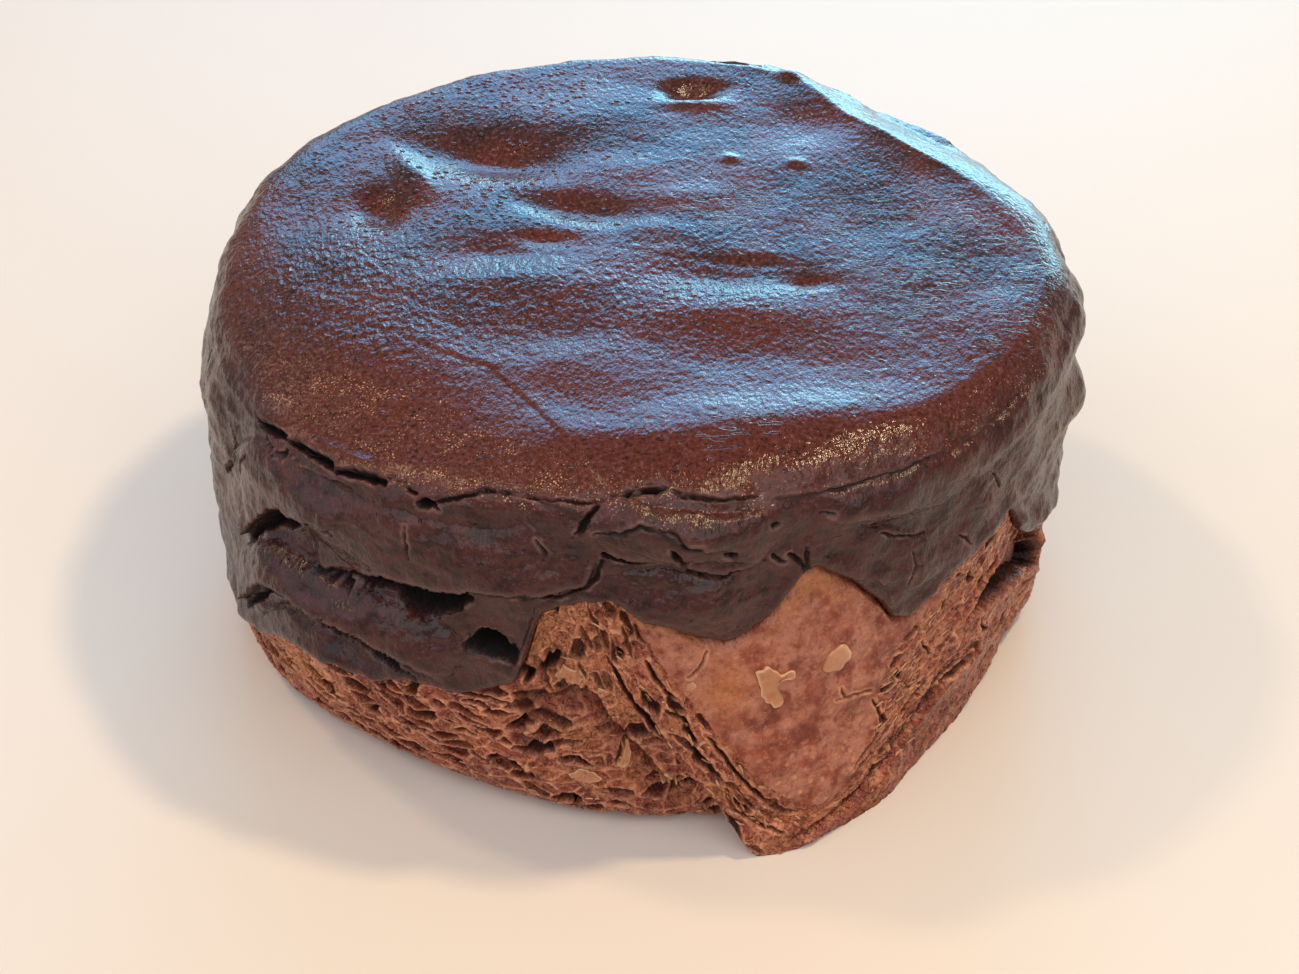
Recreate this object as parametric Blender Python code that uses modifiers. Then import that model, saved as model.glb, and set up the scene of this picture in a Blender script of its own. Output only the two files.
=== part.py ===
"""Kouign amann: a round laminated pastry with one dough corner folded over its side, under a chocolate coat.

Frame: metres, +Z up, origin on the flat base under the middle of the object. Angles round the side are in
degrees from the front (-Y), positive towards +X. Each solid is turned as a plain round form, and one warp
then gives every solid the true outline, so that the gap between them stays.
"""

import math

import bpy
import numpy as np

MM = 0.001

# Driving dimensions of the plain round form
RADIUS = 43.5 * MM
HEIGHT = 42.5 * MM
COAT = 1.6 * MM  # thickness of the chocolate
GAP = 0.35 * MM  # clear space between the coat and the dough under it
PROUD = 0.8 * MM  # how far the coat's lip stands out from the bare dough
RIM = 3.2 * MM  # rounding of the upper edge
FOOT = 3.6 * MM  # rounding of the lower edge
LIP = 20 * MM  # height of the coat's lower lip before the warp
NEAR_LIP = 1.5 * MM  # band above and below the lip that moves with it, unstretched
STEPS = 80  # columns round the axis
FRONT_CROWDING = 26  # degrees by which the columns crowd towards the front

# Lower lip of the coat round the side: degrees from the front, height in mm
LIP_ROUTE = [
    (-180, 12), (-160, 17), (-145, 10), (-125, 15), (-105, 9), (-80, 6), (-62, 9), (-50, 13), (-38, 15.5),
    (-28, 17.5), (-17, 18.5), (-12, 29), (-5, 30.4), (3, 27.6), (11, 25.2), (18, 28.6), (22, 31.4),
    (28, 27.5), (35, 22.4), (42, 24.6), (53, 27), (61, 21), (74, 18), (95, 22), (115, 13), (135, 19), (158, 9),
]

# Dough corners folded down over the side, each with two straight edges that meet in a tip on the base:
# angle of the tip, how far it stands out there in mm, height in mm, the sideways run of the left and the
# right edge for each unit of height, and how far the thick right edge lies along the base in mm.
# The first is the one at the front.
CORNERS = [(15.5, 4.6, 34, 0.62, 1.3, 22), (106, 2.6, 24, 0.8, 1.1, 8), (-164, 2.2, 26, 1.0, 0.7, 6)]
CORNER_PUSH = 1.1 * MM  # how far a corner stands out at its top
TIP_WIDTH = 2.6 * MM  # half the width of the blunt tip
EDGE_SOFTNESS = 1.7 * MM

# Oval hollows pressed into the top: x, y, half width, half depth, depth, all in mm
TOP_DENTS = [
    (6.3, 32.2, 3.8, 2.6, 1.3), (-26.5, 6.5, 3.6, 3.8, 0.9), (-16, 17, 9, 6.5, 1.1), (-7, 6, 7, 3.5, 0.6),
    (-12, -12, 11, 6, 0.8), (9, -4, 8, 3, 0.5), (24, -10, 9, 12, 0.4),
]

# Folds in the coated side: route as degrees and mm of height, half width in mm, depth in mm
SIDE_FOLDS = [
    ([(-58, 38), (-45, 38.2), (-31, 39), (-17, 41), (0, 42), (14, 41)], 1.6, 0.8),
    ([(-60, 20), (-56, 25), (-50, 28.6), (-42, 29.5)], 1.8, 0.9),
    ([(-46, 25), (-37, 27), (-28, 26.5), (-19, 28.6)], 1.9, 0.9),
    ([(-66, 10), (-55, 18), (-38, 19), (-28, 18.4)], 1.7, 0.9),
    ([(-4, 35.6), (5, 34.4), (12, 33.4), (18, 35)], 1.7, 0.8),
    ([(24, 35.5), (33, 34.5), (42, 31.8)], 1.6, 0.6),
]

# Hollows in the bare dough: angle, height, half width and half height in mm, depth in mm
DOUGH_POCKETS = [(-18.5, 15.8, 4.2, 2.0, 1.2), (60, 16.6, 6.5, 1.8, 2.0), (-4, 16.5, 4, 2.2, 1.3)]

LAYER_PITCH = 4.6 * MM
LAYER_DEPTH = 0.35 * MM

DOUGH_BROWN = (0.29, 0.115, 0.05)
CHOCOLATE_BROWN = (0.062, 0.028, 0.022)


def clear_scene():
    for old in list(bpy.data.objects):
        bpy.data.objects.remove(old, do_unlink=True)


def bell(x, centre, width):
    return np.exp(-(((x - centre) / width) ** 2))


def turn_from(angle, centre):
    """Degrees from centre to angle, the short way round."""
    return (angle - centre + 180) % 360 - 180


def ramp(x, low, high):
    t = np.clip((x - low) / (high - low), 0, 1)
    return t * t * (3 - 2 * t)


def lip_height(angle):
    """The lip's height round the side: a smooth periodic curve through LIP_ROUTE."""
    at = np.array([p[0] for p in LIP_ROUTE], float)
    height = np.array([p[1] for p in LIP_ROUTE], float) * MM
    at = np.concatenate([at - 360, at, at + 360])
    height = np.tile(height, 3)
    spread = np.arange(-5, 6)
    weight = bell(spread, 0, 2.8)
    return sum(w * np.interp(angle + s, at, height) for s, w in zip(spread, weight)) / weight.sum()


def outline_radius(angle, z):
    """Outer radius of the real object: a slightly oval round with soft bulges and a tucked-in foot."""
    radius = 43.1 * MM + 1.7 * MM * np.sin(np.radians(angle)) ** 2
    radius = radius - 1.6 * MM * bell(turn_from(angle, 126), 0, 26) * ramp(z, 30 * MM, HEIGHT)
    radius = radius - 1.7 * MM * bell(turn_from(angle, -88), 0, 32) * ramp(z, 31 * MM, 39 * MM)
    radius = radius - 0.9 * MM * bell(turn_from(angle, -140), 0, 30) * ramp(z, 31 * MM, 39 * MM)
    radius = radius + 1.5 * MM * bell(turn_from(angle, 79), 0, 12) * bell(z, 30.5 * MM, 3 * MM)
    radius = radius + 0.9 * MM * bell(turn_from(angle, 80), 0, 14) * bell(z, 38 * MM, 3 * MM)
    tuck = 3.4 * bell(turn_from(angle, -32), 0, 26) + 1.8 * bell(turn_from(angle, 62), 0, 16)
    tuck = (tuck + 2.6 * bell(turn_from(angle, 160), 0, 45)) * MM
    return radius - tuck * np.clip(1 - z / (15 * MM), 0, 1) ** 1.6


def rim_droop(angle):
    """How far the top slopes down to the rim, and the radius where the slope begins."""
    left_front = bell(turn_from(angle, -50), 0, 38)
    right_front = bell(turn_from(angle, 45), 0, 30)
    right_back = bell(turn_from(angle, 126), 0, 24)
    droop = (0.5 + 3.0 * left_front + 1.6 * right_front + 2.2 * right_back) * MM
    start = (27 + 9 * right_back) * MM
    return droop, start


def top_dents(x, y):
    depth = np.zeros_like(x)
    for cx, cy, wide, deep, down in TOP_DENTS:
        depth += down * MM * np.exp(-(((x / MM - cx) / wide) ** 2) - ((y / MM - cy) / deep) ** 2)
    return depth


def corner_push(angle, z, lip):
    """How far the folded corners stand out from the side: most at their tips, least near the coat."""
    push = np.zeros_like(z)
    foot = np.clip(1 - z / FOOT, 0, 1)
    filled_foot = FOOT * (1 - np.sqrt(1 - foot * foot))
    for tip_angle, tip_push, height, left_lean, right_lean, base_run in CORNERS:
        along = np.radians(turn_from(angle, tip_angle)) * RADIUS
        inside = ramp(along + left_lean * z + TIP_WIDTH, -EDGE_SOFTNESS, EDGE_SOFTNESS)
        right_end = right_lean * z + base_run * MM
        inside = inside * ramp(right_end - along, -2 * EDGE_SOFTNESS, 4 * EDGE_SOFTNESS)
        rise = np.clip(1 - z / (height * MM), 0, 1) ** 1.3
        rise = rise * (1 - 0.75 * ramp(along, 1 * MM, base_run * MM))
        stand = CORNER_PUSH * ramp(height * MM - z, 0, 8 * MM) + (tip_push * MM - CORNER_PUSH) * rise
        push = np.maximum(push, inside * (stand + filled_foot))
    return push * ramp(lip - z, 0.2 * MM, 5 * MM)


def route_depth(angle, z, route, half_width, depth):
    """Depth of a groove that follows a route drawn on the side."""
    across, up = np.radians(angle) * RADIUS, z
    nearest = np.full(np.shape(across), np.inf)
    points = [(math.radians(a) * RADIUS, h * MM) for a, h in route]
    for (x0, z0), (x1, z1) in zip(points, points[1:]):
        dx, dz = x1 - x0, z1 - z0
        t = np.clip(((across - x0) * dx + (up - z0) * dz) / (dx * dx + dz * dz), 0, 1)
        nearest = np.minimum(nearest, np.hypot(across - x0 - t * dx, up - z0 - t * dz))
    return depth * MM * bell(nearest, 0, half_width * MM)


def dough_relief(angle, z, lip):
    """Bare dough, outwards: the folded corner, the ends of the layers and the hollows between them."""
    layers = LAYER_DEPTH * np.sin(2 * np.pi * (z + 2 * MM * np.sin(np.radians(4 * angle))) / LAYER_PITCH)
    bare = ramp(lip - z, 0.3 * MM, 3 * MM) * ramp(z, 1 * MM, 4 * MM)
    relief = corner_push(angle, z, lip) + layers * bare
    for at, up, wide, tall, deep in DOUGH_POCKETS:
        across = np.radians(turn_from(angle, at)) * RADIUS
        relief = relief - deep * MM * bell(across, 0, wide * MM) * bell(z, up * MM, tall * MM) * bare
    return relief


def warp(points, layer):
    """Moves points of the plain round form to the real form. layer is 'coat' or 'dough'."""
    x, y, z = points.T
    r = np.hypot(x, y)
    angle = np.degrees(np.arctan2(x, -y))
    angle = angle - FRONT_CROWDING * np.sin(np.radians(angle))
    lip = lip_height(angle)

    plain = np.array([0, 3 * MM, LIP - NEAR_LIP, LIP + NEAR_LIP, HEIGHT - RIM - COAT, HEIGHT])
    real = plain[:, None] + np.outer([0, 0, 1, 1, 0, 0], lip - LIP)
    below = np.clip(np.searchsorted(plain, z, side="right") - 1, 0, len(plain) - 2)
    share = (z - plain[below]) / (plain[below + 1] - plain[below])
    column = np.arange(len(z))
    z_real = real[below, column] * (1 - share) + real[below + 1, column] * share

    r_real = r * outline_radius(angle, z_real) / RADIUS
    grip = ramp(r, 34 * MM, 40 * MM)
    if layer == "dough":
        r_real = r_real + grip * dough_relief(angle, z_real, lip)
    else:
        outer = np.clip(1 - np.minimum(HEIGHT - z, RADIUS - r) / (0.5 * COAT), 0, 1)
        for route, half_width, depth in SIDE_FOLDS:
            r_real = r_real - grip * outer * route_depth(angle, z_real, route, half_width, depth)

    x_real, y_real = r_real * np.sin(np.radians(angle)), -r_real * np.cos(np.radians(angle))
    droop, start = rim_droop(angle)
    slope = np.clip((r_real - start) / (RADIUS - start), 0, 1) ** 2
    upper = ramp(z_real, LIP, HEIGHT - RIM)
    z_real = z_real - upper * (droop * slope + top_dents(x_real, y_real) * (1 - slope))
    return np.stack([x_real, y_real, z_real], -1)


def turned(name, profile, collection):
    """A solid turned round Z from a profile of (radius, height), outside first and top to bottom."""
    mesh = bpy.data.meshes.new(name)
    edges = [(i, i + 1) for i in range(len(profile) - 1)]
    mesh.from_pydata([(r, 0, z) for r, z in profile], edges, [])
    obj = bpy.data.objects.new(name, mesh)
    collection.objects.link(obj)
    screw = obj.modifiers.new("turn", "SCREW")
    screw.axis = "Z"
    screw.steps = STEPS
    screw.render_steps = STEPS
    screw.use_merge_vertices = True
    screw.merge_threshold = 1e-6
    return obj


def bake(obj):
    """Replaces the object's mesh with its evaluated one, and drops the modifiers."""
    bpy.context.view_layer.update()
    graph = bpy.context.evaluated_depsgraph_get()
    mesh = bpy.data.meshes.new_from_object(obj.evaluated_get(graph))
    obj.modifiers.clear()
    obj.data = mesh
    return mesh


def shape(obj, layer):
    """Turns the plain solid into the real one."""
    mesh = bake(obj)
    points = np.empty(len(mesh.vertices) * 3)
    mesh.vertices.foreach_get("co", points)
    mesh.vertices.foreach_set("co", warp(points.reshape(-1, 3), layer).ravel())
    mesh.update()
    mesh.shade_smooth()
    mesh.set_sharp_from_angle(angle=math.radians(40))


def arc(centre, radius, start, end, count):
    """Points on an arc in the profile's plane, angles in degrees from +X."""
    turn = np.radians(np.linspace(start, end, count))
    return [(centre[0] + radius * math.cos(t), centre[1] + radius * math.sin(t)) for t in turn]


def dough_profile():
    """The dough from its top centre, under the coat, out at the lip's foot, and down to its base."""
    under = COAT + GAP
    r_hidden, r_bare, top = RADIUS - under, RADIUS - PROUD, HEIGHT - under
    crown = [(r * MM, top) for r in (0, 10, 19, 27, 32, 36)]
    shoulder = arc((r_hidden - RIM + COAT, top - RIM + COAT), RIM - COAT, 90, 0, 3)
    hidden = [(r_hidden, z * MM) for z in (33, 27.5, 22)]
    ledge = [(r_hidden, LIP - GAP), (r_bare, LIP - GAP - 0.5 * MM)]
    bare = [(r_bare, z * MM) for z in (18, 16.4, 14.8, 13.2, 11.6, 10, 8.4, 6.8, 5.2)]
    foot = arc((r_bare - FOOT, FOOT), FOOT, 0, -90, 4)
    base = [(r * MM, 0) for r in (30, 18, 0)]
    return crown + shoulder + hidden + ledge + bare + foot + base


def coat_profile():
    """The coat from its outer top centre, down to the lip, round it and back along the dough."""
    crown = [(r * MM, HEIGHT) for r in (0, 7, 13, 18.5, 23.5, 28, 32, 36)]
    shoulder = arc((RADIUS - RIM, HEIGHT - RIM), RIM, 90, 0, 4)
    side = [(RADIUS, z * MM) for z in (36.4, 33.6, 31, 28.4, 25.8, 23.2, LIP / MM + 0.8)]
    lip = [(RADIUS - 0.5 * COAT, LIP), (RADIUS - COAT, LIP)]
    inside = [(RADIUS - COAT, z * MM) for z in (22, 27.5, 33)]
    inner_shoulder = arc((RADIUS - RIM, HEIGHT - RIM), RIM - COAT, 0, 90, 3)
    ceiling = [(r * MM, HEIGHT - COAT) for r in (36, 32, 27, 19, 10, 0)]
    return crown + shoulder + side + lip + inside + inner_shoulder + ceiling


def coloured(obj, name, colour, roughness):
    material = bpy.data.materials.new(name)
    material.use_nodes = True
    shader = material.node_tree.nodes["Principled BSDF"]
    shader.inputs["Base Color"].default_value = (*colour, 1)
    shader.inputs["Roughness"].default_value = roughness
    shader.inputs["Metallic"].default_value = 0
    obj.data.materials.append(material)


def centre_on_base(objects):
    """Slides everything so that the origin is under the middle of the whole, on its lowest plane."""
    corners = np.array([v.co for obj in objects for v in obj.data.vertices])
    low, high = corners.min(0), corners.max(0)
    shift = np.array([(low[0] + high[0]) / 2, (low[1] + high[1]) / 2, low[2]])
    for obj in objects:
        points = np.array([v.co for v in obj.data.vertices]) - shift
        obj.data.vertices.foreach_set("co", points.ravel())
        obj.data.update()


def main():
    clear_scene()
    collection = bpy.data.collections.new("kouign_amann")
    bpy.context.scene.collection.children.link(collection)
    dough = turned("laminated_dough", dough_profile(), collection)
    coat = turned("chocolate_coat", coat_profile(), collection)
    shape(dough, "dough")
    shape(coat, "coat")
    coloured(dough, "baked dough", DOUGH_BROWN, 0.6)
    coloured(coat, "dark chocolate", CHOCOLATE_BROWN, 0.35)
    centre_on_base([dough, coat])


if __name__ == "__main__":
    main()
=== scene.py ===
import math

import bpy
import numpy as np
from bpy.props import FloatProperty, FloatVectorProperty, IntProperty, PointerProperty
from mathutils import Matrix, Vector


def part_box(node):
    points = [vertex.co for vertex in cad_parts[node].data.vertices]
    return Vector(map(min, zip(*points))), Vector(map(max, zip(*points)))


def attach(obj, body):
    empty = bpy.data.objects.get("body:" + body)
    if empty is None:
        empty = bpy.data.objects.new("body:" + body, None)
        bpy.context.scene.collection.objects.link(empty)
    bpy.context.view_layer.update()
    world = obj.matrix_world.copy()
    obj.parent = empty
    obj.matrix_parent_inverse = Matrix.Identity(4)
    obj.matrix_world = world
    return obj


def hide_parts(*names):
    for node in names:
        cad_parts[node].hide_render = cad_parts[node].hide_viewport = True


bl_info = {
    "name": "Kouign amann",
    "version": (1, 0, 0),
    "blender": (4, 5, 0),
    "location": "3D View > Sidebar > Pastry",
    "description": "Makes a chocolate coated kouign amann: laminated dough, coat, flakes and blisters",
    "category": "Add Mesh",
}

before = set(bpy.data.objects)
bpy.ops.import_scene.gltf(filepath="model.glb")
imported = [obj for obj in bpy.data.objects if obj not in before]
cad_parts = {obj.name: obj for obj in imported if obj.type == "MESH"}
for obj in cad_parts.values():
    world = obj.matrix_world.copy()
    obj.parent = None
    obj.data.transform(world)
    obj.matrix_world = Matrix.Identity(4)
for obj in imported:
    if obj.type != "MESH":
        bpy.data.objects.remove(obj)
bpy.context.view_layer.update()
COAT_LOW, COAT_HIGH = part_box("chocolate_coat")

# Shapes are worked out in millimetres round the pastry's own axis, and moved onto the frame at the end.
MM = 0.001
AXIS = np.array([(COAT_LOW.x + COAT_HIGH.x) / 2 / MM - 0.5, (COAT_LOW.y + COAT_HIGH.y) / 2 / MM, 0.0])
HEIGHT = COAT_HIGH.z / MM
RADIUS = 43.5
PROUD = 0.8
RIM_LEVEL = 38.0  # where the outline of the rim is taken
CEILING = 37.5  # underside of the coat, over the dough
FOOT = 3.6  # height and depth of the rounding round the base

# ---------------------------------------------------------------------------------------------------------
# Small mathematics


def ramp(x, low, high):
    """Smooth step: 0 below low, 1 above high."""
    t = np.clip((x - low) / (high - low), 0, 1)
    return t * t * (3 - 2 * t)


def bell(x, width):
    return np.exp(-((x / width) ** 2))


def turn_from(angle, centre):
    """Degrees from centre to angle, the short way round."""
    return (angle - centre + 180) % 360 - 180


def table():
    rng = np.random.default_rng(11)
    g = rng.normal(size=(32**3, 3))
    return (g / np.linalg.norm(g, axis=1)[:, None]).astype(np.float32)


GRADIENTS = table()
SCATTER = np.random.default_rng(5).random((65536, 4)).astype(np.float32)


def noise(p, size, seed=0):
    """Gradient noise, about -1 to 1: each corner of a cubic lattice of the given size pulls its own way."""
    start = np.array([17.3, 5.1, 9.7], np.float32) * (seed + 1)
    q = (np.asarray(p, np.float32) / size + start).astype(np.float32)
    cell = np.floor(q)
    f = q - cell
    cell = cell.astype(np.int64)
    w = f * f * f * (f * (f * 6 - 15) + 10)
    total = np.zeros(q.shape[:-1], np.float32)
    for k in range(8):
        o = np.array([k >> 2 & 1, k >> 1 & 1, k & 1])
        c = (cell + o) & 31
        g = GRADIENTS[(c[..., 0] * 32 + c[..., 1]) * 32 + c[..., 2]]
        share = np.prod(np.where(o == 1, w, 1 - w), -1)
        total += share * (g * (f - o)).sum(-1)
    return total * 1.7


def layered_noise(p, size, octaves=3, seed=0, gain=0.5):
    """Noise with finer and weaker noise added to it."""
    return sum(gain**k * noise(p, size / 2**k, seed + 7 * k) for k in range(octaves))


def cells(u, v, seed=0, wrap=1 << 20):
    """One loose point in each unit square: distance to the nearest, to the second nearest, and two random
    values of the nearest."""
    iu, iv = np.floor(u).astype(np.int64), np.floor(v).astype(np.int64)
    near = np.full(np.shape(u), 9.0)
    second = near.copy()
    tag = np.zeros(np.shape(u), np.int64)
    for du in (-1, 0, 1):
        for dv in (-1, 0, 1):
            cu, cv = iu + du, iv + dv
            key = ((cu % wrap) * 73856093 ^ cv * 19349663 ^ (seed + 3) * 83492791) & 65535
            d = np.hypot(u - cu - SCATTER[key, 0], v - cv - SCATTER[key, 1])
            closer = d < near
            second = np.where(closer, near, np.minimum(second, d))
            tag = np.where(closer, key, tag)
            near = np.where(closer, d, near)
    return near, second, SCATTER[tag, 2], SCATTER[tag, 3]


def along_route(u, v, route):
    """Distance to a route of points, the side of it (positive to its left) and the length passed along."""
    near = np.full(np.shape(u), 1e9)
    side, passed = np.zeros(np.shape(u)), np.zeros(np.shape(u))
    start = 0.0
    for (x0, y0), (x1, y1) in zip(route, route[1:]):
        dx, dy = x1 - x0, y1 - y0
        length = math.hypot(dx, dy)
        t = np.clip(((u - x0) * dx + (v - y0) * dy) / length**2, 0, 1)
        ex, ey = u - x0 - t * dx, v - y0 - t * dy
        d = np.hypot(ex, ey)
        closer = d < near
        near = np.where(closer, d, near)
        side = np.where(closer, np.sign(dx * ey - dy * ex), side)
        passed = np.where(closer, start + t * length, passed)
        start += length
    return near, side, passed


def beyond_tubes(u, v, tubes):
    """Distance beyond the nearest of some tubes, each drawn through rows of angle, height and half width.
    It is negative inside. Far from a tube it is not worked out and stays large."""
    best = np.full(np.shape(u), 9.0)
    for rows in tubes:
        rows = [(arc_mm(a), z, half) for a, z, half in rows]
        low = np.min(rows, 0)[:2] - 2
        high = np.max(rows, 0)[:2] + 2
        near = np.nonzero((u > low[0]) & (u < high[0]) & (v > low[1]) & (v < high[1]))
        x, y = u[near], v[near]
        for (x0, y0, w0), (x1, y1, w1) in zip(rows, rows[1:]):
            dx, dy = x1 - x0, y1 - y0
            t = np.clip(((x - x0) * dx + (y - y0) * dy) / (dx * dx + dy * dy), 0, 1)
            d = np.hypot(x - x0 - t * dx, y - y0 - t * dy) - w0 - t * (w1 - w0)
            best[near] = np.minimum(best[near], d)
    return best


def arc_mm(angle):
    return np.radians(angle) * RADIUS


def on_side(route):
    """A route given as degrees and heights, as millimetres along and up the side."""
    return [(math.radians(a) * RADIUS, z) for a, z in route]


# ---------------------------------------------------------------------------------------------------------
# The pastry's outer form

LIP = [
    (-180, 12), (-166, 16.5), (-158, 17), (-150, 11), (-142, 9.5), (-132, 13), (-125, 15.5), (-116, 14),
    (-108, 9), (-98, 8), (-90, 6.5), (-80, 5.8), (-70, 7), (-60, 9.5), (-55, 11.5), (-50, 13), (-45, 14.3),
    (-40, 14.6), (-35, 14.2), (-30, 16.0), (-22, 16.4), (-15.5, 18.8), (-13.4, 24), (-12, 28.6), (-7, 30.3),
    (-2, 30), (1, 28.3), (5, 26.8), (8, 25.8), (11, 25.2), (14, 25.8), (17, 28), (20, 31), (22, 31.7),
    (25, 30.5), (28, 28), (31, 25.4), (33, 23), (36, 22), (39, 23.4), (43, 25), (48, 26.2), (55, 27.3),
    (58, 24), (61, 21), (66, 19.5), (72, 18), (80, 20), (90, 22), (98, 21), (106, 16), (114, 12.5),
    (122, 13), (130, 18), (137, 20), (145, 17), (152, 10), (160, 8.5), (170, 10),
]

# How the top rolls over its rim: angle, radius where the slope begins, drop at the edge, and how far the
# rounding reaches inwards and downwards
ROLL = [
    (-180, 40, 0.3, 3.0, 3.0), (-150, 40, 0.5, 3.0, 3.0), (-120, 38.5, 0.8, 3.0, 3.0),
    (-95, 37, 1.6, 3.0, 3.0), (-70, 33.5, 2.8, 2.6, 2.4), (-47, 27.5, 3.9, 2.4, 1.8),
    (-32, 26.5, 3.4, 2.4, 1.8), (-16, 30.5, 2.0, 3.0, 2.4), (0, 34, 1.4, 3.4, 3.0),
    (17, 36.5, 1.3, 4.4, 4.0), (35, 39.5, 1.1, 4.8, 4.6), (55, 41.5, 0.9, 4.2, 4.4),
    (80, 41, 0.9, 3.4, 3.4), (105, 37, 2.0, 3.0, 3.0), (122, 34, 3.7, 3.4, 3.0),
    (140, 34.4, 4.0, 3.4, 3.0), (152, 39, 2.0, 3.0, 3.0), (165, 40, 0.6, 3.0, 3.0),
]

# Hollows and swellings of the top: x, y, half width, half depth, turn in degrees, height
TOP_FORMS = [
    # the round hollow near the back rim, with a low swelling before it
    (6.3, 32.8, 2.9, 1.7, 0, -1.7), (6.3, 29.2, 4.2, 1.2, 0, 0.3),
    # at the back left a small hollow and a long one, with a ridge between them
    (-26.5, 6.6, 2.4, 3.4, 15, -1.5), (-15.5, 18.2, 8.5, 4.6, -18, -1.9), (-24.2, 14.5, 1.6, 5.0, 25, 0.7),
    # shallow waves across the middle and the left front
    (-7, 7.0, 6.5, 2.4, -20, -0.95), (-11, -17.0, 9.0, 4.4, 0, -0.75), (-13, -2.2, 7, 2.4, 4, -0.40),
    (-14, -7.6, 8, 2.4, 4, 0.30),
    # the narrow dent right of the middle
    (9, -6.8, 6.5, 2.6, -6, -0.62), (10, -4.2, 4.5, 0.9, -8, -0.25), (17, -8.4, 2.2, 1.1, 0, -0.4),
    # two small bumps in front of the ridge
    (10, 16.6, 0.9, 0.8, 0, 0.35), (17, 15.6, 1.0, 0.8, 0, 0.35),
    # broad and low forms of all the rest
    (20, 24.5, 6, 4.5, 0, -0.55), (8, -13.5, 8, 3.0, 0, 0.35), (13, -32.5, 16, 4.4, 8, 0.80),
    (10, -21, 9, 3.5, 0, -0.25), (-10, -26.5, 9, 4.5, -40, -0.45), (23, 2, 5, 9, 0, -0.25),
    (5, 9, 4, 2, 0, 0.2), (-5, 27, 9, 5, 0, 0.35), (-9.5, 0.4, 2.6, 1.2, -10, -0.45),
    (33, 2, 3, 5, 10, 0.25), (-30, -4, 4, 6, 20, 0.35), (36, -14, 3, 6, -20, 0.3),
    (-4, 15, 6, 3, -10, 0.3), (2, 2, 4, 2, -15, 0.2),
]

# The crease at the left front of the top, from its left end to the rim
CREASE = [(-30, -13), (-20, -19), (-14, -22.5), (-9, -30), (-5, -37), (-3, -41)]


def round_table(angle, rows, column, width=2.2):
    """A value round the side: straight lines between the rows, smoothed over width degrees each way."""
    at = np.array([r[0] for r in rows], float)
    value = np.array([r[column] for r in rows], float)
    at, value = np.concatenate([at - 360, at, at + 360]), np.tile(value, 3)
    steps = np.linspace(-2, 2, 9)
    weight = bell(steps, 1)
    return sum(w * np.interp(angle + s * width, at, value) for s, w in zip(steps, weight)) / weight.sum()


def lip_height(angle):
    """Height of the coat's lower edge: the drips' route with a small unevenness."""
    p = to_xyz(angle, RADIUS, np.zeros_like(angle))
    return round_table(angle, LIP, 1, 0.8) + 0.42 * noise(p, 3.1, 70) + 0.22 * noise(p, 1.3, 71)


def outline(angle, z):
    """Outer radius: a slightly oval round with a tucked-in foot and two knobs on the right."""
    r = 43.1 + 1.7 * np.sin(np.radians(angle)) ** 2
    r = r - 1.6 * bell(turn_from(angle, 126), 26) * ramp(z, 30, HEIGHT)
    r = r - 1.7 * bell(turn_from(angle, -88), 32) * ramp(z, 31, 39)
    r = r - 0.9 * bell(turn_from(angle, -140), 30) * ramp(z, 31, 39)
    r = r + 1.5 * bell(turn_from(angle, 79), 7) * bell(z - 30, 2.6)
    r = r + 0.9 * bell(turn_from(angle, 80), 9) * bell(z - 38, 2.6)
    tuck = 3.4 * bell(turn_from(angle, -32), 26) + 1.8 * bell(turn_from(angle, 62), 16)
    tuck = tuck + 2.6 * bell(turn_from(angle, 160), 45)
    return r - tuck * np.clip(1 - z / 15, 0, 1) ** 1.6


def top_height(x, y):
    """Height of the coat's top before its fine grain: a flat crown that rolls down at the rim, with oval
    hollows and swellings, and a raised ridge along the back right."""
    angle, r = np.degrees(np.arctan2(x, -y)), np.hypot(x, y)
    begin, drop = round_table(angle, ROLL, 1, 5), round_table(angle, ROLL, 2, 5)
    ridge = bell(turn_from(angle, 130), 27)
    z = HEIGHT - drop * np.clip((r - begin) / (RADIUS - begin), 0, 1.2) ** (1.7 - 0.6 * ridge)
    for cx, cy, wide, deep, turn, up in TOP_FORMS:
        c, s = math.cos(math.radians(turn)), math.sin(math.radians(turn))
        px, py = (x - cx) * c + (y - cy) * s, (y - cy) * c - (x - cx) * s
        z = z + up * np.exp(-((px / wide) ** 2) - (py / deep) ** 2)
    inside = np.clip(begin - r, 0, None)
    ridge = ridge * np.where(r < begin, np.exp(-inside / 4.2), 1 - 0.04 * (r - begin))
    z = z + 1.05 * ridge * ramp(r, 18, 28)
    z = z + 0.55 * bell(np.hypot(x - 17.5, y - 35.6), 1.3)
    stray = 0.35 * noise(np.stack([x, y, 0 * x], -1), 3.0, 90)
    d, side, _ = along_route(x + stray, y - stray, CREASE)
    z = z - (0.12 * ramp(-d * side, -0.15, 0.15) + 0.04 * bell(d, 0.2)) * bell(d, 5) * ramp(r, 18, 26)
    return z


def top_unevenness(p):
    """Gentle unevenness of the whole skin and its fine wrinkles."""
    uneven = 0.30 * layered_noise(p, 11, 2, 1) + 0.10 * noise(p, 3.4, 2)
    return uneven, 0.020 * layered_noise(p * [1.6, 0.9, 1], 1.1, 2, 9)


def skin_height(x, y):
    """Height of the finished top at a place inside its rim."""
    z = top_height(x, y)
    uneven, grain = top_unevenness(np.stack([x, y, z], -1))
    return z + 0.45 * uneven + grain


# ---------------------------------------------------------------------------------------------------------
# Openings in the coated side, in groups of equal depth. Each is a tube: rows of angle, height, half width.

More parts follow.
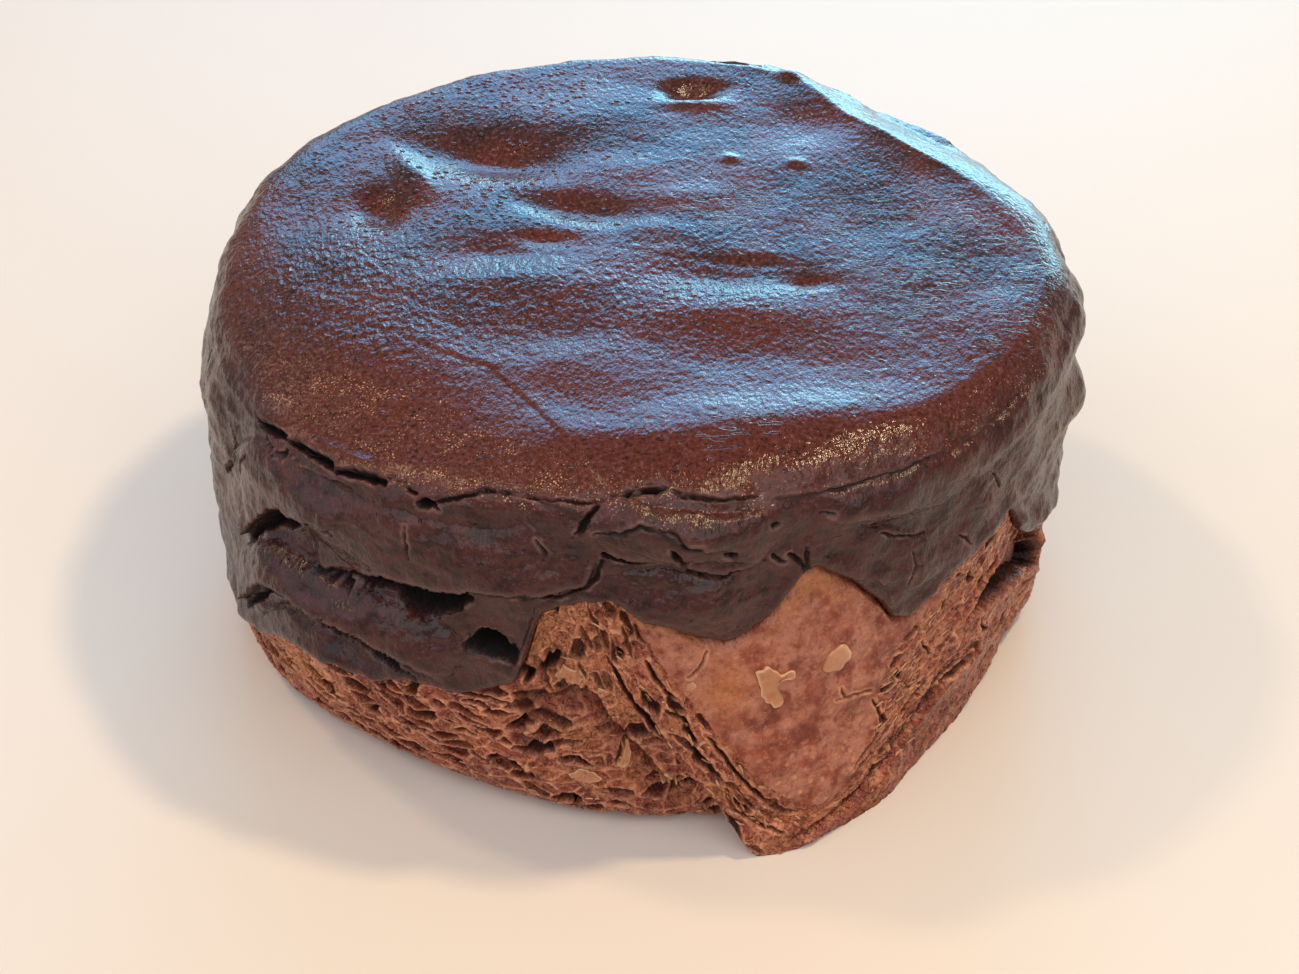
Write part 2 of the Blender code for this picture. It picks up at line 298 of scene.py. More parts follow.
OPENINGS = [
    (2.4, [
        [(-55.4, 37.4, 0.15), (-53.6, 37.3, 0.5), (-51.5, 37.7, 0.42), (-49, 38, 0.2)],
        [(-48, 37.9, 0.12), (-45.5, 38.3, 0.32), (-43, 38.2, 0.45), (-40.3, 38, 0.42)],
        [(-39.5, 37.6, 0.12), (-37.5, 38.1, 0.28), (-35, 38.6, 0.3), (-32, 38.9, 0.42)],
        [(-26.7, 37.9, 0.3), (-25.9, 38.3, 0.55), (-25.2, 38.5, 0.38), (-24.2, 38.2, 0.12)],
        [(-60.6, 20.6, 0.3), (-59.6, 21.4, 0.5), (-58, 23.1, 0.38), (-56, 24.8, 0.38),
         (-54.4, 26, 0.55), (-52, 27.6, 0.8), (-50, 28.4, 0.85), (-48.2, 28.8, 0.45)],
        [(-44.3, 24.4, 0.35), (-43, 25, 0.55), (-41, 25.3, 0.6), (-39, 25.6, 0.75),
         (-38.4, 25.4, 0.45)],
        [(-37.5, 26.9, 0.42), (-35.5, 27, 0.65), (-33.5, 27.2, 0.65), (-31.7, 27.4, 0.45)],
        [(-66, 9.4, 0.2), (-63, 11.6, 0.42), (-60.5, 13.4, 0.4), (-57.5, 15.8, 0.28), (-55, 17.6, 0.3),
         (-50, 18.2, 0.42), (-45, 18.4, 0.5), (-41, 18.6, 0.6), (-38, 18.7, 0.75), (-36, 18.6, 0.85),
         (-34.2, 18.0, 0.7), (-32, 17.0, 0.35), (-29, 16.6, 0.15)],
        [(-1.4, 42.2, 0.25), (0, 42.6, 0.42), (1.5, 42.8, 0.45), (3, 42.9, 0.3)],
    ]),
    (3.2, [
        [(-30.8, 27.3, 0.5), (-29.5, 27, 1.1), (-27.5, 26.8, 1.4), (-25, 27.1, 1.3), (-23, 27.7, 0.95),
         (-21, 28.6, 0.4)],
        [(-21.6, 22.8, 0.4), (-20, 23.2, 1.1), (-18.2, 23.8, 1.8), (-16.4, 23.2, 1.2),
         (-15.6, 22.4, 0.5)],
    ]),
    (1.3, [
        [(-53, 36.2, 0.2), (-52, 35.5, 0.28), (-50.5, 35.4, 0.32), (-49, 36.2, 0.26),
         (-48.6, 37, 0.15)],
        [(-38.6, 25, 0.2), (-38.6, 24, 0.1)], [(-38.2, 26.3, 0.12), (-37.2, 26.8, 0.25)],
        [(-45.4, 28.9, 0.15), (-44.8, 28.3, 0.28), (-44.6, 27.4, 0.1)],
        [(-15, 19.9, 0.2), (-14, 20.9, 0.38), (-12.8, 21.8, 0.28), (-12.2, 22.8, 0.2)],
        [(-66, 27.3, 0.12), (-68, 26, 0.26), (-70.5, 24.4, 0.26), (-72, 23.4, 0.12)],
        [(-3.9, 35.8, 0.2), (-2.6, 35.4, 0.28), (-0.5, 35, 0.12), (2, 35.2, 0.05)],
        [(3.8, 36.2, 0.1), (4.8, 35.5, 0.22), (5.6, 34.8, 0.12)],
        [(6, 33.8, 0.1), (7.5, 33.3, 0.22), (10, 33.2, 0.15), (12.5, 33.5, 0.07)],
        [(18.2, 34.2, 0.08), (19.5, 33.2, 0.2), (20.4, 31.8, 0.15)],
        [(20.7, 31.7, 0.12), (20.7, 33.4, 0.22), (20.4, 34.6, 0.1)],
        [(-4.6, 41.2, 0.12), (-5.6, 40.2, 0.26), (-6.2, 39, 0.3), (-7, 38, 0.12)],
        [(10.2, 35.4, 0.15), (11.2, 35.1, 0.24)],
    ]),
    (0.7, [
        [(-29.9, 39.9, 0.1), (-29, 40.1, 0.16)], [(-28.4, 39.2, 0.16), (-27.5, 39.1, 0.2)],
        [(-31.2, 39.9, 0.06), (-30.6, 40.3, 0.1)],
        [(-25, 38.6, 0.08), (-22.5, 39.6, 0.16), (-20.5, 40.3, 0.14), (-18.5, 41.5, 0.18),
         (-16.5, 42, 0.14), (-14, 41.6, 0.08), (-10, 41.3, 0.08), (-6, 41.4, 0.12), (-3, 42.3, 0.12)],
        [(-46.2, 29.2, 0.08), (-44.8, 30, 0.15), (-42.5, 30.1, 0.12), (-40.3, 30.1, 0.04)],
        [(-31, 28.3, 0.12), (-27, 28.4, 0.1), (-24, 28.8, 0.1), (-21, 29.4, 0.12), (-17, 29.8, 0.1),
         (-13, 30.2, 0.08), (-9, 30.8, 0.07), (-6, 32, 0.1), (-4.8, 33.6, 0.12), (-4.2, 35.2, 0.12)],
        [(-3, 42.3, 0.06), (-1.2, 42.9, 0.12)],
        [(3, 43.6, 0.1), (5, 42.4, 0.12), (7, 41.5, 0.1), (10, 41.2, 0.08), (14.5, 41.4, 0.04)],
        [(-5, 38, 0.05), (0, 38.3, 0.08), (2.5, 38, 0.08), (4.6, 37.4, 0.1), (5.6, 36.5, 0.12),
         (7.6, 36.2, 0.08)],
        [(16, 37.7, 0.18), (16.6, 37.9, 0.16)],
        [(16.2, 34.6, 0.1), (17.2, 33.8, 0.16), (17.8, 33.4, 0.08)],
        [(50.5, 33.2, 0.05), (52, 31, 0.1)],
        [(30.5, 33.6, 0.04), (33, 32.6, 0.08), (35.5, 31.6, 0.08), (38, 31, 0.04)],
        [(-28.8, 35.2, 0.03), (-28.8, 33, 0.08), (-28.9, 31.6, 0.03)], [(-5, 22, 0.05), (-4, 24, 0.05)],
        [(-58.6, 31.8, 0.04), (-60.4, 30.2, 0.09), (-61.6, 28, 0.05)],
        [(-64.6, 33.5, 0.05), (-63.4, 31.5, 0.1), (-62.6, 29.6, 0.05)],
        [(44, 28.5, 0.04), (45.6, 27.6, 0.08), (46.6, 26.4, 0.04)],
        [(36, 29.5, 0.04), (36.4, 27.6, 0.08), (35.6, 26, 0.04)],
        [(-12, 36.8, 0.04), (-10.8, 35.6, 0.09), (-11.4, 34.6, 0.04)],
        [(22, 38, 0.04), (24, 37.2, 0.08)],
    ]),
]

# Ledges of the coated side: route from left to right, how far the coat above it stands out, and how far up
# that fades
LEDGES = [
    ([(-58, 38.3), (-50, 37.6), (-45, 38.1), (-40, 37.9), (-35, 38.4), (-31, 39.2)], 0.63, 2.0),
    ([(-64, 23), (-60.6, 20.9), (-56, 25.1), (-52, 28.2), (-48, 29.2), (-44, 30.2), (-40, 30.6),
      (-37, 31.6)], 1.19, 4.0),
    ([(-45, 25.2), (-41, 26), (-38, 27.2), (-31, 28.3), (-24, 28.8), (-20, 29.6), (-12, 30.4),
      (-6, 32.2), (-4.4, 35.2)], 1.19, 3.6),
    ([(-69, 7.5), (-66, 9.6), (-60, 14), (-55, 18.1), (-45, 18.7), (-36, 19.5), (-30, 18.8),
      (-22, 17.6)], 1.33, 3.2),
    ([(-5, 36), (-2, 35.1), (2, 34.9), (5, 34.4), (8, 33.3), (11, 33.1), (14, 33.9), (17, 34.9)], 1.19,
     2.6),
    ([(-5, 38.1), (0, 38.4), (3, 37.8), (5, 37), (8, 36.2), (12, 35.8)], 0.49, 1.6),
    ([(23, 35.9), (27, 35.8), (30, 35.4), (34, 34.8), (37, 33.8)], 0.56, 2.2),
    ([(30, 33.6), (33, 32.5), (36, 31.4), (38.4, 31)], 0.49, 1.6),
    ([(38.4, 31.2), (41, 31.6), (42.6, 33.4)], 0.49, 1.6),
    ([(15, 40.2), (21, 40.4), (28, 40), (34, 39.5), (41, 39.9)], 0.56, 2.6),
    ([(3, 43.4), (6, 41.6), (10, 41), (15, 41.3)], 0.49, 1.8),
    ([(-25, 38.4), (-20, 40.4), (-17, 41.9), (-13, 41.5), (-6, 40)], 0.31, 1.6),
    ([(-48, 35.6), (-44, 36.3), (-41, 36.7), (-36, 36.9)], 0.31, 1.4),
    ([(-42, 31.2), (-39, 32.5), (-35, 32.8), (-31.5, 32), (-30.5, 31)], 0.36, 1.2),
    ([(-67, 38), (-64, 34.8), (-62, 31), (-60, 27.5)], 0.77, 2.6),
    ([(-72, 33), (-69, 29), (-66, 26)], 0.56, 2.2), ([(29, 29.4), (31.5, 27), (33.5, 27)], 0.42, 1.4),
    ([(45, 31), (49, 29.6), (53, 30.6)], 0.42, 1.8),
]

# Rounded folds of the coated side: route, half width, how far it stands out
ROPES = [
    ([(-64, 13), (-57, 18.5), (-50, 22), (-42, 22.6), (-34, 22.8), (-27, 22), (-21, 19.6)], 3.4, 1.5),
    ([(-62, 26), (-55, 31.5), (-46, 33.4), (-34, 32.6), (-24, 33), (-14, 34), (-8, 36.6)], 3.8, 0.9),
    ([(-74, 3), (-66, 7), (-58, 12.6), (-48, 14.6), (-38, 15.4)], 2.6, 0.7),
    ([(-3, 39.8), (4, 38.4), (10, 37.6), (18, 37.4)], 2.4, 0.9),
    ([(-6, 29.6), (2, 31), (10, 29.6), (16, 30.6)], 3.4, 0.9),
    ([(22, 33.2), (30, 31.6), (37, 28), (42, 28.6)], 3.0, 0.7),
    ([(20, 37.8), (30, 37.6), (40, 36.4), (50, 37), (62, 38)], 2.6, 0.6),
]

# Broad swellings of the coated side, such as the rolled rope of dough and the drips
SWELLS = [
    (-40, 22.6, 17, 2.5, 1.2), (6, 30, 7.5, 3.0, 1.0), (-26, 33.5, 14, 3.2, 0.5),
    (-47, 33.5, 9, 3, 0.6), (36, 26, 6, 3.5, 0.7), (6, 38.5, 8, 1.6, 0.6), (33, 39, 9, 2.5, 0.5),
    (48, 30, 6, 3, 0.4), (-50, 14.5, 12, 2.2, 0.5), (-75, 33, 6, 5, 0.5), (-80, 17, 8, 5, 0.4),
    (60, 34, 7, 4, 0.4), (-14, 25.4, 2.2, 3.2, 0.6),
]


def far_side(angle):
    """The back of the pastry repeats the front's folds, turned round and mirrored: the angle to look up."""
    return np.where(np.abs(angle) < 92, angle, -turn_from(angle, 165) * 0.92)


def coated_side(p, angle, r, z, push):
    """Relief of the coated side, added to a push outwards. Ledges stand out above their routes and fade
    upwards; openings are sunk inside their tubes. Returns the push, the sag downwards, a mask of painted
    shade inside the openings and under the ledges, and a mask of painted highlight along the ledges and
    round the openings."""
    wobble = 0.20 * noise(p, 2.4, 3) + 0.15 * noise(p, 0.9, 4) + 0.08 * noise(p, 0.45, 7)
    shift = 0.20 * noise(p, 2.4, 5) + 0.15 * noise(p, 0.9, 6) + 0.08 * noise(p, 0.45, 9)
    calm = ramp(np.abs(turn_from(angle, 180)), 4, 10) * ramp(np.abs(np.abs(angle) - 92), 0, 5)
    push, sag = push + 0.0, np.zeros_like(z)
    dark, rim = np.zeros_like(z), np.zeros_like(z)
    broken = ramp(noise(p, 1.4, 8), -0.1, 0.5)

    def chart():
        seen, up = seen_at(angle, r + push, z)
        seen = np.where(np.abs(angle) < 92, seen, far_side(angle))
        return arc_mm(seen) + shift, up + wobble

    u, v = chart()
    for at, up, wide, tall, out in SWELLS:
        push += out * bell(u - arc_mm(at), wide * 0.76) * bell(v - up, tall) * calm
    u, v = chart()
    for route, half, out in ROPES:
        route = on_side(route)
        total = sum(math.dist(a, b) for a, b in zip(route, route[1:]))
        d, _, passed = along_route(u, v, route)
        ends = ramp(passed, 0.0, 5.0) * ramp(total - passed, 0.0, 5.0) * calm
        push += out * ends * np.sqrt(np.clip(1 - (d / half) ** 2, 0, 1))
    u, v = chart()
    for route, out, fade in LEDGES:
        route = on_side(route)
        total = sum(math.dist(a, b) for a, b in zip(route, route[1:]))
        d, side, passed = along_route(u, v - 0.9 * out, route)
        ends = ramp(passed, 0.0, 3.0) * ramp(total - passed, 0.0, 3.0) * calm
        lift = ramp(d * side, -0.12, 0.12) * np.exp(-np.clip(d * side, 0, None) / fade) * ramp(9 - d, 0, 3)
        push += out * ends * lift
        sag += 0.3 * out * ends * lift * bell(d, 1.0)
        # painted highlight lightens the strip just above each ledge's line
        rim = np.maximum(rim, 0.35 * ends * bell(d * side - 0.25, 0.22) * min(1.0, out / 0.7))
        # painted shade darkens the band just below each ledge's line
        dark = np.maximum(dark, 0.85 * ends * bell(d * side + 0.25, 0.28) * min(1.0, out / 0.8))
    u, v = chart()
    jagged = 0.13 * noise(p, 0.75, 14)
    for depth, tubes in OPENINGS:
        d = beyond_tubes(u, v, tubes) + jagged * min(1.0, depth / 2) - 0.03
        push -= calm * depth * np.clip((0.06 - d) / (0.14 + 0.22 * depth), 0, 1) ** 0.8
        # painted shade makes the inside of each opening black
        dark = np.maximum(dark, calm * ramp(-d, -0.10, 0.12))
        # painted highlight rings each opening, broken up by noise
        rim = np.maximum(rim, 0.7 * calm * bell(d - 0.22, 0.14) * broken)
    return push, sag, dark, rim


# ---------------------------------------------------------------------------------------------------------
# Meshes


def ring_faces(counts):
    """Faces of a stack of closed rings, outside facing out when the rings run from the top down. A ring may
    have half the points of the one before it, and the joint is then made of triangles."""
    quads, tris, start = [], [], 0
    for n, m in zip(counts, counts[1:]):
        a, b = start, start + n
        i = np.arange(n)
        j = (i + 1) % n
        if m == n:
            quads.append(np.stack([a + i, b + i, b + j, a + j], -1))
        elif m * 2 == n:
            k = np.arange(m)
            f0, f1, f2 = a + 2 * k, a + 2 * k + 1, a + (2 * k + 2) % n
            c0, c1 = b + k, b + (k + 1) % m
            tris += [np.stack([f0, c0, f1], -1), np.stack([f1, c1, f2], -1), np.stack([f1, c0, c1], -1)]
        elif n * 2 == m:
            k = np.arange(n)
            f0, f1, f2 = b + 2 * k, b + 2 * k + 1, b + (2 * k + 2) % m
            c0, c1 = a + k, a + (k + 1) % n
            tris += [np.stack([c0, f0, f1], -1), np.stack([c1, f1, f2], -1), np.stack([c0, f1, c1], -1)]
        elif m == 1:
            tris.append(np.stack([a + i, np.full(n, b), a + j], -1))
        elif n == 1:
            k = np.arange(m)
            tris.append(np.stack([np.full(m, a), b + k, b + (k + 1) % m], -1))
        start += n
    quads = np.concatenate(quads) if quads else np.zeros((0, 4), int)
    tris = np.concatenate(tris) if tris else np.zeros((0, 3), int)
    return quads, tris


def patch_faces(rows, columns):
    """Quads of a grid, with its edge closed to one more point behind it, which comes last."""
    i, j = np.meshgrid(np.arange(rows - 1), np.arange(columns - 1), indexing="ij")
    k = (i * columns + j).ravel()
    quads = np.stack([k, k + columns, k + columns + 1, k + 1], -1)
    top = np.arange(columns)
    right = np.arange(rows) * columns + columns - 1
    bottom = (rows - 1) * columns + top[::-1]
    left = np.arange(rows)[::-1] * columns
    loop = np.concatenate([top[:-1], right[:-1], bottom[:-1], left[:-1]])
    tris = np.stack([loop, np.roll(loop, -1), np.full(len(loop), rows * columns)], -1)
    return quads, tris


def make_mesh(name, points, quads, tris, masks, material):
    """A mesh object from arrays. Points are in millimetres round the pastry's axis."""
    mesh = bpy.data.meshes.new(name)
    place = (np.asarray(points, float) + AXIS) * MM
    loops = np.concatenate([quads.ravel(), tris.ravel()]).astype(np.int32)
    sizes = np.concatenate([np.full(len(quads), 4), np.full(len(tris), 3)]).astype(np.int32)
    starts = np.concatenate([[0], np.cumsum(sizes)[:-1]]).astype(np.int32)
    mesh.vertices.add(len(place))
    mesh.vertices.foreach_set("co", place.ravel().astype(np.float32))
    mesh.loops.add(len(loops))
    mesh.loops.foreach_set("vertex_index", loops)
    mesh.polygons.add(len(sizes))
    mesh.polygons.foreach_set("loop_start", starts)
    mesh.polygons.foreach_set("use_smooth", np.ones(len(sizes), bool))
    mesh.update(calc_edges=True)
    mesh.validate()
    for key, values in masks.items():
        layer = mesh.attributes.new(key, "FLOAT", "POINT")
        layer.data.foreach_set("value", np.asarray(values, np.float32).ravel())
    mesh.materials.append(material)
    obj = bpy.data.objects.new(name, mesh)
    bpy.context.scene.collection.objects.link(obj)
    return obj


def column_angles(count, crowded):
    """Angles of the columns in degrees from the front. Rows of crowded say between which angles they stand
    closer together, and how much."""
    fine = np.linspace(-180, 180, 3601)
    weight = np.ones_like(fine)
    for low, high, times in crowded:
        within = ramp(fine, low - 6, low) * ramp(-fine, -high - 6, -high)
        weight = np.maximum(weight, 1 + (times - 1) * within)
    total = np.concatenate([[0], np.cumsum((weight[1:] + weight[:-1]) / 2)])
    return np.interp((np.arange(count) + 0.5) / count * total[-1], total, fine)


def to_xyz(angle, r, z):
    a = np.radians(angle)
    return np.stack([r * np.sin(a), -r * np.cos(a), z + 0 * r], -1)


# How far up a viewer in front sees a point for each millimetre that it lies further back
COAT_SIGHT = 0.76
DOUGH_SIGHT = 0.78


def seen_at(angle, r, z):
    """Angle and height on a plain cylinder where a viewer in front, and a little above, sees the point.
    Towards the sides this fades to the point's own angle and height."""
    a = np.radians(angle)
    seen = np.degrees(np.arcsin(np.clip(r * np.sin(a) / RADIUS, -0.985, 0.985)))
    rise = COAT_SIGHT * (RADIUS * np.cos(np.radians(seen)) - r * np.cos(a))
    near = ramp(-np.abs(angle), -84, -76)
    return angle + (seen - angle) * near, z + rise * near


# ---------------------------------------------------------------------------------------------------------
# Materials


def socket_in(tree, socket, value):
    if isinstance(value, bpy.types.NodeSocket):
        tree.links.new(value, socket)
    elif value is not None:
        socket.default_value = value


def node(tree, kind, inputs=None, **settings):
    """Adds a node, sets its options and its inputs, and returns it."""
    made = tree.nodes.new(kind)
    for key, value in settings.items():
        setattr(made, key, value)
    for key, value in (inputs or {}).items():
        socket_in(tree, made.inputs[key], value)
    return made


def math_node(tree, operation, a, b=0.0):
    return node(tree, "ShaderNodeMath", {0: a, 1: b}, operation=operation).outputs[0]


def mix_colour(tree, share, a, b):
    made = tree.nodes.new("ShaderNodeMix")
    made.data_type = "RGBA"
    socket_in(tree, made.inputs[0], share)
    socket_in(tree, made.inputs[6], a if isinstance(a, bpy.types.NodeSocket) else (*a, 1))
    socket_in(tree, made.inputs[7], b if isinstance(b, bpy.types.NodeSocket) else (*b, 1))
    return made.outputs[2]


def remap(tree, value, low, high, to_low=0.0, to_high=1.0):
    made = node(tree, "ShaderNodeMapRange", {0: value, 1: low, 2: high, 3: to_low, 4: to_high})
    made.interpolation_type = "SMOOTHSTEP"
    return made.outputs[0]


def object_mm(tree):
    """Object coordinates in millimetres."""
    at = node(tree, "ShaderNodeTexCoord").outputs["Object"]
    return node(tree, "ShaderNodeVectorMath", {0: at, "Scale": 1 / MM}, operation="SCALE").outputs[0]


def drawn_out(tree, at):
    """Coordinates for wrinkles that run a little more from front to back than across."""
    return node(tree, "ShaderNodeVectorMath", {0: at, 1: (1.7, 0.9, 1.1)}, operation="MULTIPLY").outputs[0]


def noise_node(tree, at, size, detail=2.0, roughness=0.5, distortion=0.0):
    inputs = {"Vector": at, "Scale": 1 / size, "Detail": detail}
    inputs |= {"Roughness": roughness, "Distortion": distortion}
    return node(tree, "ShaderNodeTexNoise", inputs).outputs["Fac"]


def attribute(tree, name):
    return node(tree, "ShaderNodeAttribute", attribute_name=name).outputs["Fac"]


def new_material(name):
    material = bpy.data.materials.new(name)
    material.use_nodes = True
    tree = material.node_tree
    return material, tree, tree.nodes["Principled BSDF"]


def bump(tree, height, distance, normal=None):
    """Bump of the given depth in millimetres, laid over another where one is given."""
    inputs = {"Height": height, "Strength": 1.0, "Distance": distance * MM, "Normal": normal}
    return node(tree, "ShaderNodeBump", inputs).outputs["Normal"]


def grain_group():
    """Grain of a set or baked skin: fine wrinkles and small pits, as a height and a pit mask."""
    group = bpy.data.node_groups.new("skin grain", "ShaderNodeTree")
    for name, usual in (("Size", 0.5), ("Pit Size", 1.6), ("Pit Share", 0.3)):
        socket = group.interface.new_socket(name, in_out="INPUT", socket_type="NodeSocketFloat")
        socket.default_value = usual
    group.interface.new_socket("Height", in_out="OUTPUT", socket_type="NodeSocketFloat")
    group.interface.new_socket("Pits", in_out="OUTPUT", socket_type="NodeSocketFloat")
    start, end = node(group, "NodeGroupInput"), node(group, "NodeGroupOutput")
    at = object_mm(group)
    scale = math_node(group, "DIVIDE", 1.0, start.outputs["Size"])
    inputs = {"Vector": drawn_out(group, at), "Scale": scale, "Detail": 2.5, "Roughness": 0.55}
    fine = node(group, "ShaderNodeTexNoise", inputs)
    pit_scale = math_node(group, "DIVIDE", 1.0, start.outputs["Pit Size"])
    pit = node(group, "ShaderNodeTexVoronoi", {"Vector": at, "Scale": pit_scale, "Randomness": 1.0})
    lot = node(group, "ShaderNodeSeparateColor", {0: pit.outputs["Color"]}).outputs[0]
    chosen = math_node(group, "LESS_THAN", lot, start.outputs["Pit Share"])
    hole = remap(group, pit.outputs["Distance"], 0.06, 0.16, 1.0, 0.0)
    hole = math_node(group, "MULTIPLY", hole, chosen)
    height = math_node(group, "SUBTRACT", fine.outputs["Fac"], hole)
    socket_in(group, end.inputs["Height"], height)
    socket_in(group, end.inputs["Pits"], hole)
    return group


def chocolate_material(look, group):
    """Set dark chocolate: brown that is redder at the front, with painted shade that makes the gaps, pits
    and scratches black, painted golden glints, painted highlights along ledges and round openings, and a
    fine crinkled grain under a soft sheen."""
    material, tree, shader = new_material("dark chocolate")
    at = object_mm(tree)
    broad = noise_node(tree, at, 9.0, 3.0)
    fine = noise_node(tree, at, 0.42, 3.0, 0.65)
    middle = noise_node(tree, at, 1.7, 3.0, 0.6)
    calm = math_node(tree, "SUBTRACT", 1.0, math_node(tree, "MULTIPLY", attribute(tree, "side"), 0.75))
    ruddy = math_node(tree, "MULTIPLY", remap(tree, broad, 0.3, 0.7), math_node(tree, "ADD", calm, 0.1))
    colour = mix_colour(tree, ruddy, look.dark_colour, look.red_colour)
    colour = mix_colour(tree, attribute(tree, "front"), colour, look.red_colour)
    more = remap(tree, middle, 0.35, 0.65, 0.45, 1.0)
    pale = math_node(tree, "MULTIPLY", remap(tree, fine, 0.51, 0.68), more)
    pale = math_node(tree, "MULTIPLY", pale, calm)
    colour = mix_colour(tree, pale, colour, look.light_colour)
    more = remap(tree, middle, 0.65, 0.35, 0.5, 1.0)
    dark = math_node(tree, "MULTIPLY", remap(tree, fine, 0.49, 0.33), more)
    dark = math_node(tree, "MULTIPLY", dark, calm)
    colour = mix_colour(tree, dark, colour, look.dark_grain_and_shade_colour)
    shade = math_node(tree, "MULTIPLY", remap(tree, middle, 0.54, 0.36, 0.0, 0.55), attribute(tree, "side"))
    colour = mix_colour(tree, shade, colour, look.dark_grain_and_shade_colour)
    # painted highlight along the ledges and round the openings, from the thin mask
    thin = math_node(tree, "MULTIPLY", attribute(tree, "thin"), 0.75)
    colour = mix_colour(tree, thin, colour, look.painted_highlight_colour)
    # painted glints: tiny golden dots where lamps would glint on the crinkled skin, most where the specks
    # mask is high
    painted_glint_dots = noise_node(tree, at, 0.19, 1.0, 0.5)
    patch = remap(tree, noise_node(tree, at, 2.2, 3.0), 0.35, 0.66, 0.4, 1.0)
    painted_glint_dots = math_node(tree, "ADD", painted_glint_dots, math_node(tree, "MULTIPLY", attribute(tree, "specks"), patch))
    painted_glint_dots = remap(tree, painted_glint_dots, 0.84, 0.95)
    colour = mix_colour(tree, painted_glint_dots, colour, look.painted_glint_colour)
    skin = node(tree, "ShaderNodeGroup", {}, node_tree=group)
    skin.inputs["Size"].default_value = 0.58
    skin.inputs["Pit Size"].default_value = 1.35
    skin.inputs["Pit Share"].default_value = 0.5
    # painted shade darkens the pits of the side's grain
    pits = math_node(tree, "MULTIPLY", skin.outputs["Pits"], attribute(tree, "side"))
    colour = mix_colour(tree, math_node(tree, "MULTIPLY", pits, 0.9), colour, look.dark_grain_and_shade_colour)
    # painted shade darkens the scratches along with their bump
    scratch = math_node(tree, "MULTIPLY", scratch_lines(tree, at), attribute(tree, "scratched"))
    colour = mix_colour(tree, math_node(tree, "MULTIPLY", scratch, 0.8), colour, look.dark_grain_and_shade_colour)
    # painted shade: the gap mask mixes the openings and the bands under the ledges to near black
    colour = mix_colour(tree, attribute(tree, "gap"), colour, look.dark_grain_and_shade_colour)
    socket_in(tree, shader.inputs["Base Color"], colour)
    rough = remap(tree, fine, 0.3, 0.7, 0.12, 0.19)
    rough = math_node(tree, "ADD", rough, math_node(tree, "MULTIPLY", attribute(tree, "matt"), 0.09))
    rough = math_node(tree, "ADD", rough, math_node(tree, "MULTIPLY", attribute(tree, "gap"), 0.6))
    socket_in(tree, shader.inputs["Roughness"], rough)
    grainy = math_node(tree, "MULTIPLY", skin.outputs["Height"], attribute(tree, "grain"))
    normal = bump(tree, grainy, 0.27)
    medium = noise_node(tree, drawn_out(tree, at), 1.0, 2.0)
    medium = math_node(tree, "MULTIPLY", medium, attribute(tree, "leather"))
    normal = bump(tree, medium, 0.40, normal)
    normal = bump(tree, math_node(tree, "MULTIPLY", scratch, -1.0), 0.14, normal)
    socket_in(tree, shader.inputs["Normal"], normal)
    shader.inputs["IOR"].default_value = 1.5
    shader.inputs["Specular IOR Level"].default_value = 0.36
    return material


def scratch_lines(tree, at):
    """Short thin strokes that run to the right and the front: noise drawn out along them, cut to a line."""
    inputs = {"Vector": at, "Rotation": (0, 0, 0.7), "Scale": (0.28, 1.0, 1.0)}
    turned = node(tree, "ShaderNodeMapping", inputs)
    value = noise_node(tree, turned.outputs[0], 0.75, 1.0, 0.5, 0.3)
    off = math_node(tree, "ABSOLUTE", math_node(tree, "SUBTRACT", value, 0.62))
    return remap(tree, off, 0.0, 0.035, 1.0, 0.0)


def thin_lines(tree, at, size, width):
    """A network of thin wandering lines, where a noise passes through its middle value."""
    value = noise_node(tree, at, size, 2.0, 0.6, 0.4)
    off = math_node(tree, "ABSOLUTE", math_node(tree, "SUBTRACT", value, 0.5))
    return remap(tree, off, 0.0, width, 1.0, 0.0)


